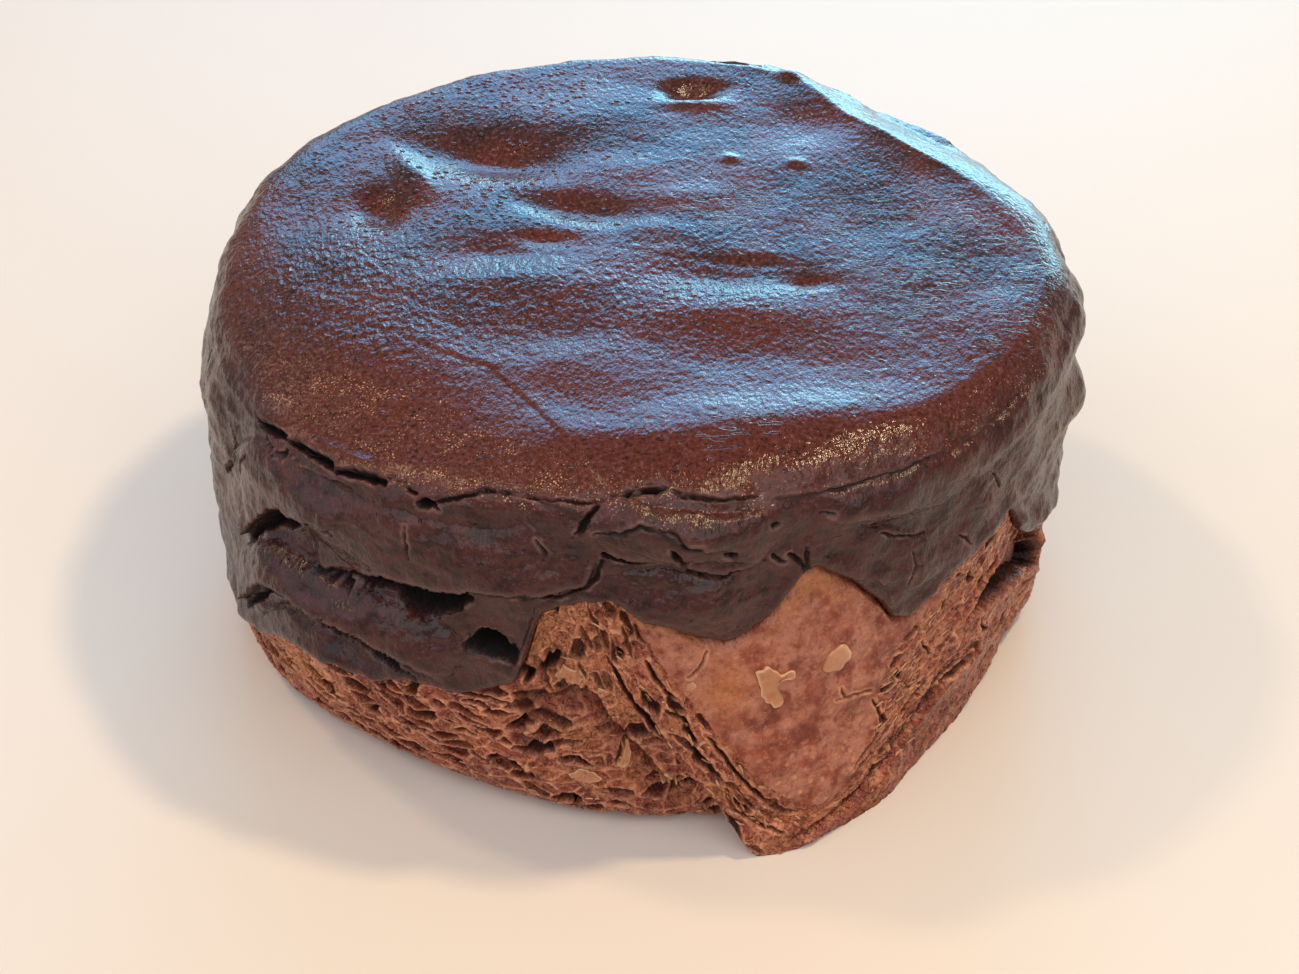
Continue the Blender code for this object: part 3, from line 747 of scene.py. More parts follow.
def dough_material(look, group):
    """Baked laminated dough: red-brown skin under a sugar glaze, pale where a layer ends, with painted
    shade that makes the pockets nearly black red. The smooth panels are mottled."""
    material, tree, shader = new_material("baked dough")
    at = object_mm(tree)
    broad = noise_node(tree, at, 3.6, 4.0, 0.6)
    fine = noise_node(tree, at, 0.45, 3.0, 0.65)
    mottle = noise_node(tree, at, 2.3, 4.0, 0.6, 0.25)
    panel = attribute(tree, "panel")
    rest = math_node(tree, "SUBTRACT", 1.0, panel)
    colour = mix_colour(tree, remap(tree, broad, 0.36, 0.62), look.crust_colour, look.caramel_colour)
    spots = math_node(tree, "MULTIPLY", remap(tree, mottle, 0.40, 0.62), panel)
    colour = mix_colour(tree, math_node(tree, "MULTIPLY", spots, 0.58), colour, look.spot_colour)
    stain = math_node(tree, "MULTIPLY", remap(tree, mottle, 0.46, 0.30), panel)
    colour = mix_colour(tree, math_node(tree, "MULTIPLY", stain, 0.6), colour, look.caramel_colour)
    colour = mix_colour(tree, attribute(tree, "orange"), colour, look.orange_colour)
    colour = mix_colour(tree, attribute(tree, "tan"), colour, look.tan_colour)
    dark_share = math_node(tree, "ADD", math_node(tree, "MULTIPLY", rest, 0.35), 0.42)
    dark = math_node(tree, "MULTIPLY", remap(tree, fine, 0.47, 0.30), dark_share)
    colour = mix_colour(tree, dark, colour, look.dark_grain_and_pocket_shade_colour)
    pale_share = math_node(tree, "ADD", math_node(tree, "MULTIPLY", rest, 0.18), 0.32)
    pale = math_node(tree, "MULTIPLY", remap(tree, fine, 0.54, 0.70), pale_share)
    colour = mix_colour(tree, pale, colour, look.layer_colour)
    lines = thin_lines(tree, at, 1.1, 0.018)
    lines = math_node(tree, "MULTIPLY", lines, math_node(tree, "ADD", rest, 0.15))
    colour = mix_colour(tree, math_node(tree, "MULTIPLY", lines, 0.5), colour, look.dark_grain_and_pocket_shade_colour)
    colour = mix_colour(tree, attribute(tree, "crest"), colour, look.layer_colour)
    # painted shade makes the pockets, holes and grooves of the dough nearly black red
    colour = mix_colour(tree, attribute(tree, "gap"), colour, look.dark_grain_and_pocket_shade_colour)
    # painted shade makes the pocket near black; the same mask also makes it glossier
    colour = mix_colour(tree, attribute(tree, "pocket_gloss_and_shade"), colour, look.dark_grain_and_shade_colour)
    socket_in(tree, shader.inputs["Base Color"], colour)
    rough = remap(tree, fine, 0.3, 0.7, 0.15, 0.28)
    rough = math_node(tree, "ADD", rough, math_node(tree, "MULTIPLY", attribute(tree, "gap"), 0.45))
    rough = math_node(tree, "SUBTRACT", rough, math_node(tree, "MULTIPLY", attribute(tree, "pocket_gloss_and_shade"), 0.2))
    socket_in(tree, shader.inputs["Roughness"], math_node(tree, "MAXIMUM", rough, 0.08))
    skin = node(tree, "ShaderNodeGroup", {}, node_tree=group)
    skin.inputs["Size"].default_value = 0.5
    skin.inputs["Pit Size"].default_value = 2.4
    skin.inputs["Pit Share"].default_value = 0.3
    height = math_node(tree, "SUBTRACT", skin.outputs["Height"], math_node(tree, "MULTIPLY", lines, 0.5))
    normal = bump(tree, height, 0.24)
    socket_in(tree, shader.inputs["Normal"], normal)
    shader.inputs["IOR"].default_value = 1.5
    shader.inputs["Specular IOR Level"].default_value = 0.36
    return material


def glaze_material(look):
    """Set sugar glaze and thin crisp layers: amber, paler at the edges, with a painted highlight on one
    side of each drop, glossy with a fine ripple.
    """
    material, tree, shader = new_material("sugar glaze")
    at = object_mm(tree)
    fine = noise_node(tree, at, 0.7, 3.0, 0.6)
    colour = mix_colour(tree, remap(tree, fine, 0.35, 0.65), look.glaze_colour, look.tan_colour)
    # the edge mask holds the pale edges of flakes and splinters, and a painted highlight on each drop
    edge = math_node(tree, "MULTIPLY", attribute(tree, "edge"), 0.9)
    colour = mix_colour(tree, edge, colour, look.pale_edge_and_highlight_colour)
    socket_in(tree, shader.inputs["Base Color"], colour)
    socket_in(tree, shader.inputs["Roughness"], remap(tree, fine, 0.3, 0.7, 0.16, 0.32))
    socket_in(tree, shader.inputs["Normal"], bump(tree, fine, 0.12))
    shader.inputs["Coat Weight"].default_value = 0.3
    shader.inputs["Coat Roughness"].default_value = 0.08
    return material


def plain_material(name, colour, roughness):
    material, _, shader = new_material(name)
    shader.inputs["Base Color"].default_value = (*colour, 1)
    shader.inputs["Roughness"].default_value = roughness
    return material


# ---------------------------------------------------------------------------------------------------------
# The chocolate coat

COAT = 1.5

# Fine patches of the coat's rim and side: name, first and last angle, columns, rows over the rim and rows
# down the side
COAT_PATCHES = [
    ("coated_side_front", -76.0, 73.0, 690, 40, 94),
    ("coated_side_back", 72.7, 284.3, 440, 28, 80),
]
PATCH_START = 0.14  # share of the rim's roll that lies before a patch begins


def coat_rows(angle, tilts, side_rows, curl_rows):
    """Rows of the coat over its rim, down its side and round its lip, before its relief. Also the tilt of
    each row in degrees, 90 facing up and 0 facing out, and how far each row lies behind the lip."""
    reach, fall = round_table(angle, ROLL, 3, 5), round_table(angle, ROLL, 4, 5)
    lip, edge = lip_height(angle), outline(angle, RIM_LEVEL)
    rows = []
    for tilt in np.radians(tilts):
        row = to_xyz(angle, edge - reach * (1 - math.cos(tilt)), 0 * edge)
        row[:, 2] = top_height(row[:, 0], row[:, 1]) - fall * (1 - math.sin(tilt))
        rows.append(row)
    shoulder = rows[-1][:, 2]
    share = np.linspace(0, 1, side_rows + 1)[1:, None]
    z = shoulder + (lip + 0.5 * COAT - shoulder) * share
    r = outline(angle, z) + (edge - outline(angle, shoulder)) * (1 - share) ** 3
    wall = to_xyz(angle[None], r, z)
    turn = np.radians(np.linspace(0, 180, curl_rows + 1))[1:, None]
    curl_r, curl_z = r[-1] - 0.5 * COAT * (1 - np.cos(turn)), lip + 0.5 * COAT * (1 - np.sin(turn))
    curl = to_xyz(angle[None], curl_r, curl_z)
    tilt = np.concatenate([tilts, np.zeros(side_rows + curl_rows)])
    behind = np.concatenate([np.zeros(len(tilts) + side_rows), np.linspace(0.1, 1, curl_rows)])
    return np.concatenate([np.array(rows), wall, curl]), tilt, behind


def coat_relief(p, tilt, behind):
    """The coat's points moved out by their relief, and the masks of its material."""
    a = np.degrees(np.arctan2(p[:, 0], -p[:, 1]))
    r = np.hypot(p[:, 0], p[:, 1])
    kind = 1 - tilt / 90
    near_side = ramp(kind, 0.02, 0.5)
    uneven, grain = top_unevenness(p)
    side_lumps = 0.34 * layered_noise(p * [1, 1, 1.6], 5.5, 3, 12) + 0.05 * layered_noise(p, 1.0, 2, 13)
    near, _, tag, _ = cells(p[:, 0] / 0.95 + 40, p[:, 1] / 0.95 + 40, 3)
    pebbles = ramp(0.62 - near, 0, 0.5) * (0.4 + 0.6 * tag)
    x, y = p[:, 0], p[:, 1]
    leather = bell(x + 30, 9) * bell(y + 9, 10) + 0.5 * bell(x + 14, 13) * bell(y + 14, 7)
    leather = leather + 0.35 * bell(x - 6, 9) * bell(y + 9, 8)
    pebbled = (0.025 + 0.17 * leather) * pebbles * (1 - near_side)
    bead = 0.5 * bell(p[:, 2] - lip_height(a) - 1.2, 1.2) * near_side * (1 - 0.9 * bell(np.abs(a) - 82, 14))
    base = uneven * (0.45 + 0.55 * near_side) + grain + side_lumps * near_side + pebbled + bead
    push, sag, dark, rim = coated_side(p, a, r, p[:, 2], base)
    shown = ramp(kind, 0.04, 0.24) * (1 - behind)
    keep = shown * ramp(p[:, 2] - lip_height(a), -1.2, 0.8)
    push, sag, dark, rim = base + (push - base) * keep, sag * keep, dark * shown, rim * near_side
    push = push * (1 - behind)
    lift = np.radians(tilt)
    outwards = np.cos(lift) / np.maximum(r, 1e-6)
    direction = np.stack([x * outwards, y * outwards, np.sin(lift)], -1)
    moved = p + direction * push[:, None]
    moved[:, 2] -= sag

    top = 1 - ramp(kind, 0.2, 0.9)
    front = ramp(-y, 2, 26) * ramp(x, -48, -22) * (0.6 + 0.4 * ramp(x, 60, 20))
    brown = ramp(HEIGHT - 0.1 - moved[:, 2], 0, 0.9) * ramp(-y, -5, 12)
    # where the painted glints gather, on the top's front edge
    glint_zone = ramp(HEIGHT + 0.2 - moved[:, 2], 0, 1.0) * ramp(-y, 8, 26) * ramp(moved[:, 2], 38.2, 40.0)
    masks = {
        # the gap mask is painted shade inside the openings and under the ledges
        "gap": dark,
        # the thin mask is painted highlight along the ledges and round the openings
        "thin": rim,
        "side": 1 - top,
        "front": front * (0.25 + 0.65 * top),
        # the specks mask places painted glints
        "specks": 0.03 * ramp(moved[:, 2], 29, 37) + (0.222 - 0.026 * ramp(x, 0, 20)) * glint_zone,
        "matt": np.maximum(1 - top, brown),
        "grain": 0.45 * (1 - top) + top * (0.36 + 0.4 * leather),
        "leather": top * (0.25 + 0.75 * leather),
        "scratched": top * scratched_places(x, y),
    }
    return moved, masks


# Places on the top with short scratches: x, y, radius
SCRATCHES = [
    (8, 7, 3), (11, 7.5, 2.5), (23, 2, 3), (34, 3, 3), (31, -12, 3), (37, -18, 3), (19, -27, 2.5),
    (9, -35, 2.5), (36, -4, 4), (27, 6, 3), (28, -5, 4), (24, -14, 3),
]


def scratched_places(x, y):
    return np.max([bell(np.hypot(x - cx, y - cy), radius) for cx, cy, radius in SCRATCHES], axis=0)


def build_coat(material):
    """The coat's top with its rim, the shell of its side just behind the fine patches, and its inside."""
    columns = 640
    angle = column_angles(columns, [(-92, 92, 1.5)])
    edge = outline(angle, RIM_LEVEL) - round_table(angle, ROLL, 3, 5)
    counts, crown = [1], [np.zeros((1, 3))]
    for share in np.linspace(0, 0.99, 156)[1:]:
        step = 2 ** sum(share <= limit for limit in (0.62, 0.31, 0.15, 0.08))
        crown.append(to_xyz(angle[::step], share * edge[::step], 0 * edge[::step]))
        counts.append(len(crown[-1]))
    crown = np.concatenate(crown)
    crown[:, 2] = top_height(crown[:, 0], crown[:, 1])
    tilts = np.linspace(90, 0, 12)
    rows, tilt, behind = coat_rows(angle, tilts, 14, 4)
    counts += [columns] * len(rows)
    p = np.concatenate([crown, rows.reshape(-1, 3)])
    tilt = np.concatenate([np.full(len(crown), 90.0), np.repeat(tilt, columns)])
    behind = np.concatenate([np.zeros(len(crown)), np.repeat(behind, columns)])
    moved, masks = coat_relief(p, tilt, behind)

    # the side keeps behind the patches, and its lip above theirs
    sunk = ramp(1 - tilt / 90, 0.42, 0.75)
    r = np.hypot(moved[:, 0], moved[:, 1])
    inwards = np.where(sunk > 0, (np.minimum(r, np.hypot(p[:, 0], p[:, 1])) - 1.6) / np.maximum(r, 1), 1)
    squeeze = 1 + (inwards - 1) * sunk
    moved[:, :2] *= squeeze[:, None]
    lip = lip_height(np.degrees(np.arctan2(p[:, 0], -p[:, 1])))
    moved[:, 2] += 1.3 * sunk * ramp(0.6 - tilt, 0, 0.5) * ramp(lip + 5 - p[:, 2], 0, 5)

    inner_r = outline(angle, np.full(columns, 30.0)) - COAT
    low = moved[-columns:]
    inner, inner_counts, step = [], [], 1
    for share in (0.35, 1.0):
        z = low[:, 2] + (CEILING - 1 - low[:, 2]) * share
        r = np.hypot(low[:, 0], low[:, 1]) * (1 - share) + (inner_r - 3.2) * share
        inner.append(to_xyz(angle, r, z))
        inner_counts.append(columns)
    for share in (0.8, 0.6, 0.4, 0.2):
        step *= 2
        some = angle[::step]
        inner.append(to_xyz(some, share * (inner_r[::step] - 3), np.full(len(some), CEILING)))
        inner_counts.append(len(some))
    inner.append(np.array([[0.0, 0.0, CEILING]]))
    inner = np.concatenate(inner)
    quads, tris = ring_faces(counts + inner_counts + [1])
    masks = {k: np.concatenate([v, np.zeros(len(inner))]) for k, v in masks.items()}
    return make_mesh("chocolate_coating", np.concatenate([moved, inner]), quads, tris, masks, material)


def build_coat_patch(name, low, high, columns, rim_rows, side_rows, material):
    """The outer surface of part of the coat's rim and side, as a fine grid closed to a point inside."""
    angle = turn_from(np.linspace(low, high, columns), 0)
    kinds = np.linspace(PATCH_START, 1, rim_rows)
    rows, tilt, behind = coat_rows(angle, 90 * (1 - kinds), side_rows, 5)
    count = len(rows)
    moved, masks = coat_relief(rows.reshape(-1, 3), np.repeat(tilt, columns), np.repeat(behind, columns))
    tuck = np.repeat(ramp(tilt / 90, 1 - PATCH_START - 0.09, 1 - PATCH_START), columns)
    moved *= (1 - 0.010 * tuck)[:, None]
    behind_point = to_xyz(np.array([(low + high) / 2]), np.array([20.0]), np.array([28.0]))
    quads, tris = patch_faces(count, columns)
    masks = {k: np.append(v, 0) for k, v in masks.items()}
    return make_mesh(name, np.concatenate([moved, behind_point]), quads, tris, masks, material)


# ---------------------------------------------------------------------------------------------------------
# The dough

# The folded corners: the part of the side each belongs to, its middle, which way round it is, its size and
# how far it stands out. The first faces front.
CORNERS = [(-80, 84, 16, 1, 1.0, 1.0), (84, 172, 112, -1, 0.62, 0.6), (172, 280, 196, 1, 0.58, 0.5)]
# Reach of a corner's foot: angle and how far it stands out at the plate
REACH = [
    (-20, 3.5), (12, 3.6), (17, 3.6), (20.7, 2.9), (27, 1.95), (35, 0.45), (44, -1.6), (50, -1.8),
    (60, -1.2), (72, -0.8), (84, 0),
]
# The smooth panel of a corner, from the upper left down to its lowest point and up on the right
PANEL_EDGE = [
    (-1, 31), (-0.4, 28.5), (1.4, 25), (4.8, 20), (8.4, 15.5), (11.6, 11), (14.6, 7.4), (18, 4.2),
    (22, 2.4), (25.6, 3.2), (28.4, 5), (30.4, 8), (31, 11), (31.4, 14.5), (33.4, 18), (37, 20.5),
    (41, 23), (45, 27),
]
CORNER_LEFT = [
    (-7, 33), (-5.8, 28), (-4.4, 24), (-2.8, 19.6), (0.5, 15), (4.8, 10), (8.6, 5.2), (11.4, 0.6),
    (13.4, -4),
]
# Crisp line between the right band's thin layers and its outer rope
ROPE_LINE = [
    (18, -2.2), (22, -0.4), (27, 1), (30, 2.4), (35, 4.5), (38, 6.2), (42, 8.4), (45, 9.9), (50, 9.8),
]
# Edge of the sheet that lies over the valley beside the corner
VALLEY = [
    (-16, 17.2), (-13, 18), (-11, 18.7), (-9.4, 19.4), (-8, 20), (-6.6, 19.8), (-5, 18.4), (-3.6, 16.4),
    (-1.8, 14.6), (0.4, 12.2), (3, 9.4), (5.6, 7.2),
]
# The glossy pocket on the right, as a tube
POCKET = [
    [(47.6, 16.7, 0.1), (50, 17.2, 0.7), (52.6, 18.0, 1.7), (56, 18.0, 2.5), (60, 17.8, 3.0),
     (65, 16.6, 3.0), (69, 14.4, 2.4), (74, 11, 1.6), (80, 7, 0.8)],
]
# Narrow gaps between strands of the corner's bands, and its small holes, as tubes
STRAND_GAPS = [
    [(-3.7, 23.4, 0.12), (-2.5, 20.9, 0.26), (-1, 18.7, 0.16)],
    [(-1.1, 18.4, 0.15), (0.5, 16.5, 0.34), (2, 14.9, 0.3), (3, 13.4, 0.1)],
    [(0.8, 23.4, 0.1), (2, 21.6, 0.24), (3, 20.2, 0.16)], [(3.7, 19.6, 0.22), (4.1, 19, 0.26)],
    [(-2.3, 24.6, 0.3), (-2, 24, 0.36)], [(5, 16.4, 0.12), (6, 14.8, 0.18), (7, 13, 0.12)],
    [(6.4, 12.6, 0.15), (7.6, 10.8, 0.32), (9, 8.8, 0.26), (10.2, 7.4, 0.1)],
    [(4.6, 9.2, 0.12), (6.2, 7.6, 0.22), (8.4, 5.2, 0.16)],
    [(8.6, 13.4, 0.08), (10, 11.4, 0.17), (11.6, 9.4, 0.12)],
    [(12.6, 7.6, 0.12), (14.2, 5.8, 0.18), (16, 4, 0.12)],
    [(12, 3.4, 0.1), (14.6, 1.4, 0.18), (17.6, -0.4, 0.12)], [(34.2, 15.3, 0.2), (34.9, 14.6, 0.34)],
    [(47.2, 22.6, 0.15), (47.5, 21.2, 0.45), (48.4, 20.5, 0.2)], [(32.2, 10.6, 0.2), (32.6, 9.8, 0.26)],
    [(31.6, 7.4, 0.1), (33.4, 8.6, 0.17), (35, 9, 0.06)], [(38, 10.6, 0.08), (40, 9.8, 0.12)],
    [(44, 10, 0.08), (46.5, 9.7, 0.26), (49.8, 9.5, 0.1)],
    [(38.6, 17.6, 0.08), (40, 16, 0.14), (41, 14.8, 0.08)],
    [(30.4, 13.4, 0.05), (31.2, 12, 0.1), (31.8, 10, 0.14), (31, 8, 0.13), (29.4, 6.4, 0.1),
     (27.8, 5, 0.05)],
    [(51.6, 13.4, 0.08), (52.6, 12.4, 0.24), (54, 11.6, 0.1)],
    [(8.2, 24.6, 0.04), (7.4, 22.6, 0.07), (6, 21.4, 0.05)],
    [(25, 15.2, 0.03), (27.6, 15.1, 0.06), (30, 14.6, 0.06)], [(25.4, 16.6, 0.03), (26.2, 15.4, 0.06)],
    [(42.5, 23.6, 0.1), (44, 23.4, 0.2), (45, 22.8, 0.08)], [(36.4, 12.6, 0.06), (37.6, 12.1, 0.12)],
]
# Pockets of the layered side beside the corner
SIDE_GAPS = [
    [(-45, 12.2, 0.15), (-43, 12.4, 0.38), (-41, 13, 0.15)],
    [(-30, 12.2, 0.2), (-28.6, 12.2, 0.55), (-27.4, 12.4, 0.25)],
    [(-20.5, 8.8, 0.25), (-19, 9.2, 0.45), (-17, 8.8, 0.45), (-15.8, 8.2, 0.25)],
    [(-17, 13.6, 0.25), (-15.4, 14.4, 0.42), (-14, 14.2, 0.2)],
    [(-14.5, 11, 0.25), (-13, 11.4, 0.45), (-11.6, 11.2, 0.25)],
    [(-47, 8, 0.12), (-45.5, 8.4, 0.28), (-44, 8.2, 0.12)],
    [(-39.4, 9, 0.12), (-38, 9.4, 0.28), (-37, 9, 0.12)],
    [(-2.8, 10.4, 0.2), (-2.2, 11.6, 0.26), (-1.8, 12.6, 0.12)],
    [(-9.6, 10.4, 0.25), (-8, 10.6, 0.38), (-6.4, 9.8, 0.25)],
    [(-23, 15.6, 0.08), (-21, 15.9, 0.22), (-19.6, 15.6, 0.12)],
    [(-35, 9.6, 0.1), (-31, 9.8, 0.2), (-28, 9, 0.12)],
    [(-12.2, 21.8, 0.3), (-11, 22.9, 0.6), (-10.3, 23.7, 0.3)], [(-14.6, 20, 0.2), (-13.6, 21, 0.32)],
    [(-33, 17.4, 0.05), (-28, 17, 0.2), (-22, 16.8, 0.2), (-15, 16.9, 0.14)],
    [(-37.5, 13.9, 0.1), (-35.6, 13.2, 0.25), (-34.4, 13.6, 0.1)],
    [(-25, 11.6, 0.1), (-23.4, 11.9, 0.22), (-22, 11.6, 0.08)],
]


def net_of_cells(x, y, share, seed, wrap=1 << 20):
    """A net of cells, one to each unit square, in which a share of the cells are open. Returns how deep
    each point lies in an open cell, 0 to 1, and a mask of the walls."""
    near, second, tag, depth = cells(x, y, seed, wrap)
    wall = second - near
    return ramp(wall, 0.05, 0.34) * (tag < share) * (0.45 + 0.55 * depth), bell(wall - 0.03, 0.09)


def corner_fields(u, z):
    """Where a point lies on a folded corner: distance out from the smooth panel, distance in from the
    corner's left edge and length along that edge."""
    d, side, _ = along_route(u, z, on_side(PANEL_EDGE))
    left, left_side, left_passed = along_route(u, z, on_side(CORNER_LEFT))
    return d * -side, left * left_side, left_passed


def own_corner(angle):
    """The angle as the corner of that part of the side would have it, with the corner's size and stand."""
    seen, size, stand = angle * 0.0, angle * 0.0 + 1, angle * 0.0
    for low, high, middle, way, scale, out in CORNERS:
        here = (turn_from(angle, low) >= 0) & (turn_from(angle, high) < 0)
        here = here & (np.abs(turn_from(angle, (low + high) / 2)) < 95)
        seen = np.where(here, turn_from(angle, middle) * way / scale + 16, seen)
        size, stand = np.where(here, scale, size), np.where(here, out, stand)
    return seen, size, stand


def corner_stand(seen, z):
    """How far a folded corner stands out: most at its foot, which is filled out to the plate."""
    foot = np.clip(1 - np.maximum(z, 0) / FOOT, 0, 1)
    reach = np.interp(seen, [r[0] for r in REACH], [r[1] for r in REACH])
    share = np.where(reach > 0, np.clip(1 - z / 30, 0, 1) ** 1.3, np.clip(1 - z / 14, 0, 1) ** 1.3)
    fill = FOOT * (1 - np.sqrt(1 - foot * foot)) * (1 - ramp(seen, 60, 80))
    return ramp(34 - z, 0, 8) * (1 - ramp(seen, 52, 70)) + reach * share + fill


def level_net(p, angle, z, seed, share):
    """The layer net of the plain side, level all the way round: cells wider than they are tall."""
    around = 88
    bend = 1.0 * noise(p, 6.0, seed) + 0.40 * noise(p, 2.1, seed + 1)
    x = (angle + 180) / 360 * around + 0.28 * noise(p, 1.6, seed + 2)
    return net_of_cells(x, (z + bend) / 1.4, share, seed, around)


def dough_relief(p, angle, r, z):
    """Relief of the bare dough and its masks. The folded corners stand out from the side; their panels are
    smooth, and everything round them shows the ends of layers."""
    seen, size, strength = own_corner(angle)
    zc = z / size
    foot = np.clip(1 - z / FOOT, 0, 1)
    flat = r + np.where(z < FOOT, FOOT * (1 - np.sqrt(np.clip(1 - foot**2, 0, 1))), 0)
    stand = corner_stand(seen, zc)
    shift_u = 0.20 * noise(p, 2.2, 20) + 0.12 * noise(p, 0.8, 25)
    shift_v = 0.24 * noise(p, 2.6, 21) + 0.12 * noise(p, 0.9, 22)
    u = arc_mm(seen) + shift_u / size
    v = zc + DOUGH_SIGHT * (RADIUS - flat) / size + shift_v / size
    v_out = v - DOUGH_SIGHT * stand * strength
    outside, inward, along_left = corner_fields(u, v_out)
    fade = 1 - ramp(seen, 52, 70)
    in_corner = ramp(inward, -0.2, 0.2) * (1 - ramp(seen, 70, 80))
    panel = ramp(-outside, -0.15, 0.2) * in_corner
    band = in_corner * (1 - panel) * ramp(outside, 0.0, 0.5)
    left = band * (1 - ramp(u, arc_mm(19), arc_mm(23)))
    raised = stand - 0.15 * np.clip(outside, 0, 5) * ramp(zc, 1, 5)
    push = strength * ramp(inward, -0.4, 0.4) * (1 - ramp(seen, 70, 80)) * raised

    # strands of the left band run along it; those of the right band run along its rope
    share = inward / np.maximum(inward + outside, 0.3)
    bend = 0.30 * noise(p, 1.7, 31) + 0.12 * noise(p, 0.7, 32)
    deep_l, wall_l = net_of_cells(along_left / 3.4, share * 6.0 + bend, 0.50, 30)
    d, rope_side, rope_passed = along_route(u, v_out, on_side(ROPE_LINE))
    from_rope = -d * rope_side
    near_rope = ramp(3.4 + from_rope, 0, 1.0) * ramp(v_out, 26, 18)
    deep_r, wall_r = net_of_cells(rope_passed / 4.6, from_rope / 0.85 + bend, 0.36, 34)
    bend_c = 0.6 * noise(p, 1.6, 35)
    deep_c, wall_c = net_of_cells((u + bend_c) / 2.2, (v_out - 0.5 * u - bend_c) / 1.3, 0.14, 37)
    right = (band - left) * fade * ramp(-from_rope, 0.0, 0.3)
    deep_s, wall_s = level_net(p, angle, z, 40, 0.48)
    valley_u, valley_v = np.array(on_side(VALLEY)).T
    above = v - np.interp(u, valley_u, valley_v)
    golden = (1 - in_corner) * ramp(inward, -8.0, -6.0) * ramp(above, 0.0, 0.5)
    golden = golden * (1 - ramp(seen, 16, 20)) * ramp(v, 15, 17)
    deep_g, wall_g = net_of_cells(along_left / 2.4, inward / 1.15 + bend, 0.24, 44)
    plain = (1 - in_corner) * (1 - golden) + in_corner * (1 - fade) * (1 - panel)
    weights = [
        (left, deep_l, wall_l, 0.85),
        (right * near_rope, deep_r, wall_r, 0.60),
        (right * (1 - near_rope), deep_c, wall_c, 0.55),
        (golden, deep_g, wall_g, 0.75),
        (plain, deep_s, wall_s, 1.3),
    ]
    # the gap mask is painted shade: open cells, holes, grooves, the valley under the sheet and the pocket
    gap = sum(w * deep for w, deep, _, _ in weights)
    crest = sum(w * wall for w, _, wall, _ in weights)
    push = push - sum(w * deep * depth for w, deep, _, depth in weights) + 0.10 * crest

    # the rope outside the line, the hollow under the sheet, and the drawn gaps
    held = ramp(u, arc_mm(17), arc_mm(21)) * fade * in_corner
    line = bell(from_rope, 0.20) * held
    push = push - 0.9 * line + 0.55 * held * ramp(from_rope, 0.1, 0.9) * bell(from_rope - 1.2, 1.6)
    gap = np.maximum(gap * (1 - held * ramp(from_rope, 0.1, 0.5)), 0.95 * line)
    d, side, _ = along_route(u, v, on_side(VALLEY))
    below = d * -side
    under = ramp(below, -0.05, 0.22) * (1 - in_corner) * ramp(seen, -17, -12) * (1 - ramp(seen, 8, 12))
    hollow = under * np.exp(-np.clip(below, 0, None) / 2.4)
    push = push - 2.4 * hollow * strength
    shade = under * np.exp(-np.clip(below, 0, None) / 1.5)
    gap = np.maximum(gap * (1 - 0.8 * hollow), 0.9 * shade)
    d = beyond_tubes(u, v, POCKET)
    pocket = ramp(-d, -0.15, 0.3)
    pocket_depth = (5.2 + 0.8 * noise(p, 1.6, 74)) * size
    push = push - pocket_depth * np.clip(-d, 0, 1) ** 0.6 + 0.35 * bell(d - 0.5, 0.6)
    gaps = ((STRAND_GAPS, v_out, in_corner, 1.2), (SIDE_GAPS, v, 1 - in_corner, 1.7))
    for tubes, up, here, depth in gaps:
        d = beyond_tubes(u, up, tubes)
        hole = ramp(-d, -0.10, 0.10) * here
        push = push - depth * size * here * np.clip((0.05 - d) / 0.4, 0, 1) ** 0.8
        push = push + 0.10 * here * bell(d - 0.3, 0.2)
        gap = np.maximum(gap, 0.97 * hole)
        crest = np.maximum(crest, here * bell(d - 0.22, 0.15))

    below_lip = lip_height(angle) - z
    fringe = ramp(-below_lip, -3.4, -2.2) * bell(seen - 21.5, 7) ** 2 * in_corner
    fringe = np.maximum(fringe, ramp(-below_lip, -1.3, -0.7) * bell(seen - 3, 5))
    # lumps of the panel, crinkles of all the rest
    pimple_at, _, tag, _ = cells(u / 1.05 + 50, v_out / 1.05 + 50, 12)
    pimple = ramp(0.36 - pimple_at, 0, 0.2) * (tag < 0.30) * panel * (0.3 + 0.7 * ramp(v_out, 13, 6))
    crinkle = np.abs(noise(p + 0.3 * noise(p, 0.9, 67)[..., None], 1.3, 66))
    lumps = 0.26 * noise(p, 5.2, 61) + panel * (0.15 * layered_noise(p, 2.1, 3, 60) + 0.13 * pimple)
    lumps = lumps + fringe * (0.25 + 0.3 * layered_noise(p, 1.3, 3, 73))
    lumps = lumps + (1 - panel) * (0.10 * layered_noise(p, 1.2, 3, 62) - 0.14 * bell(crinkle, 0.07))
    push = push + lumps
    crack = 0.6 * (1 - panel) * bell(crinkle, 0.05) * ramp(noise(p, 3.0, 68), -0.2, 0.3)
    gap = np.clip(np.maximum.reduce([gap, crack, pocket]), 0, 1)
    bright = ramp(noise(p, 1.0, 69), 0.15, 0.5) * (1 - 0.6 * panel)
    crest = crest * (0.45 + 0.55 * ramp(noise(p, 1.1, 70), -0.25, 0.4))
    crest = np.maximum.reduce([crest, 0.42 * bright, 0.7 * pimple])
    tip = ramp(1.2 - v_out, 0, 2.2) * bell(u - arc_mm(14), 3.2) * in_corner
    golden = golden * (0.35 + 0.5 * ramp(noise(p, 2.2, 72), -0.2, 0.5))
    patchy = 0.4 * ramp(noise(p, 2.8, 63), 0.15, 0.7) * (1 - panel)
    tan = np.maximum.reduce([golden, 0.8 * tip, 0.95 * fringe, patchy])
    glow = bell(seen + 55, 9) * bell(v - 9, 3) + 0.8 * bell(seen - 10.5, 2.6) * bell(v_out - 19.5, 3)
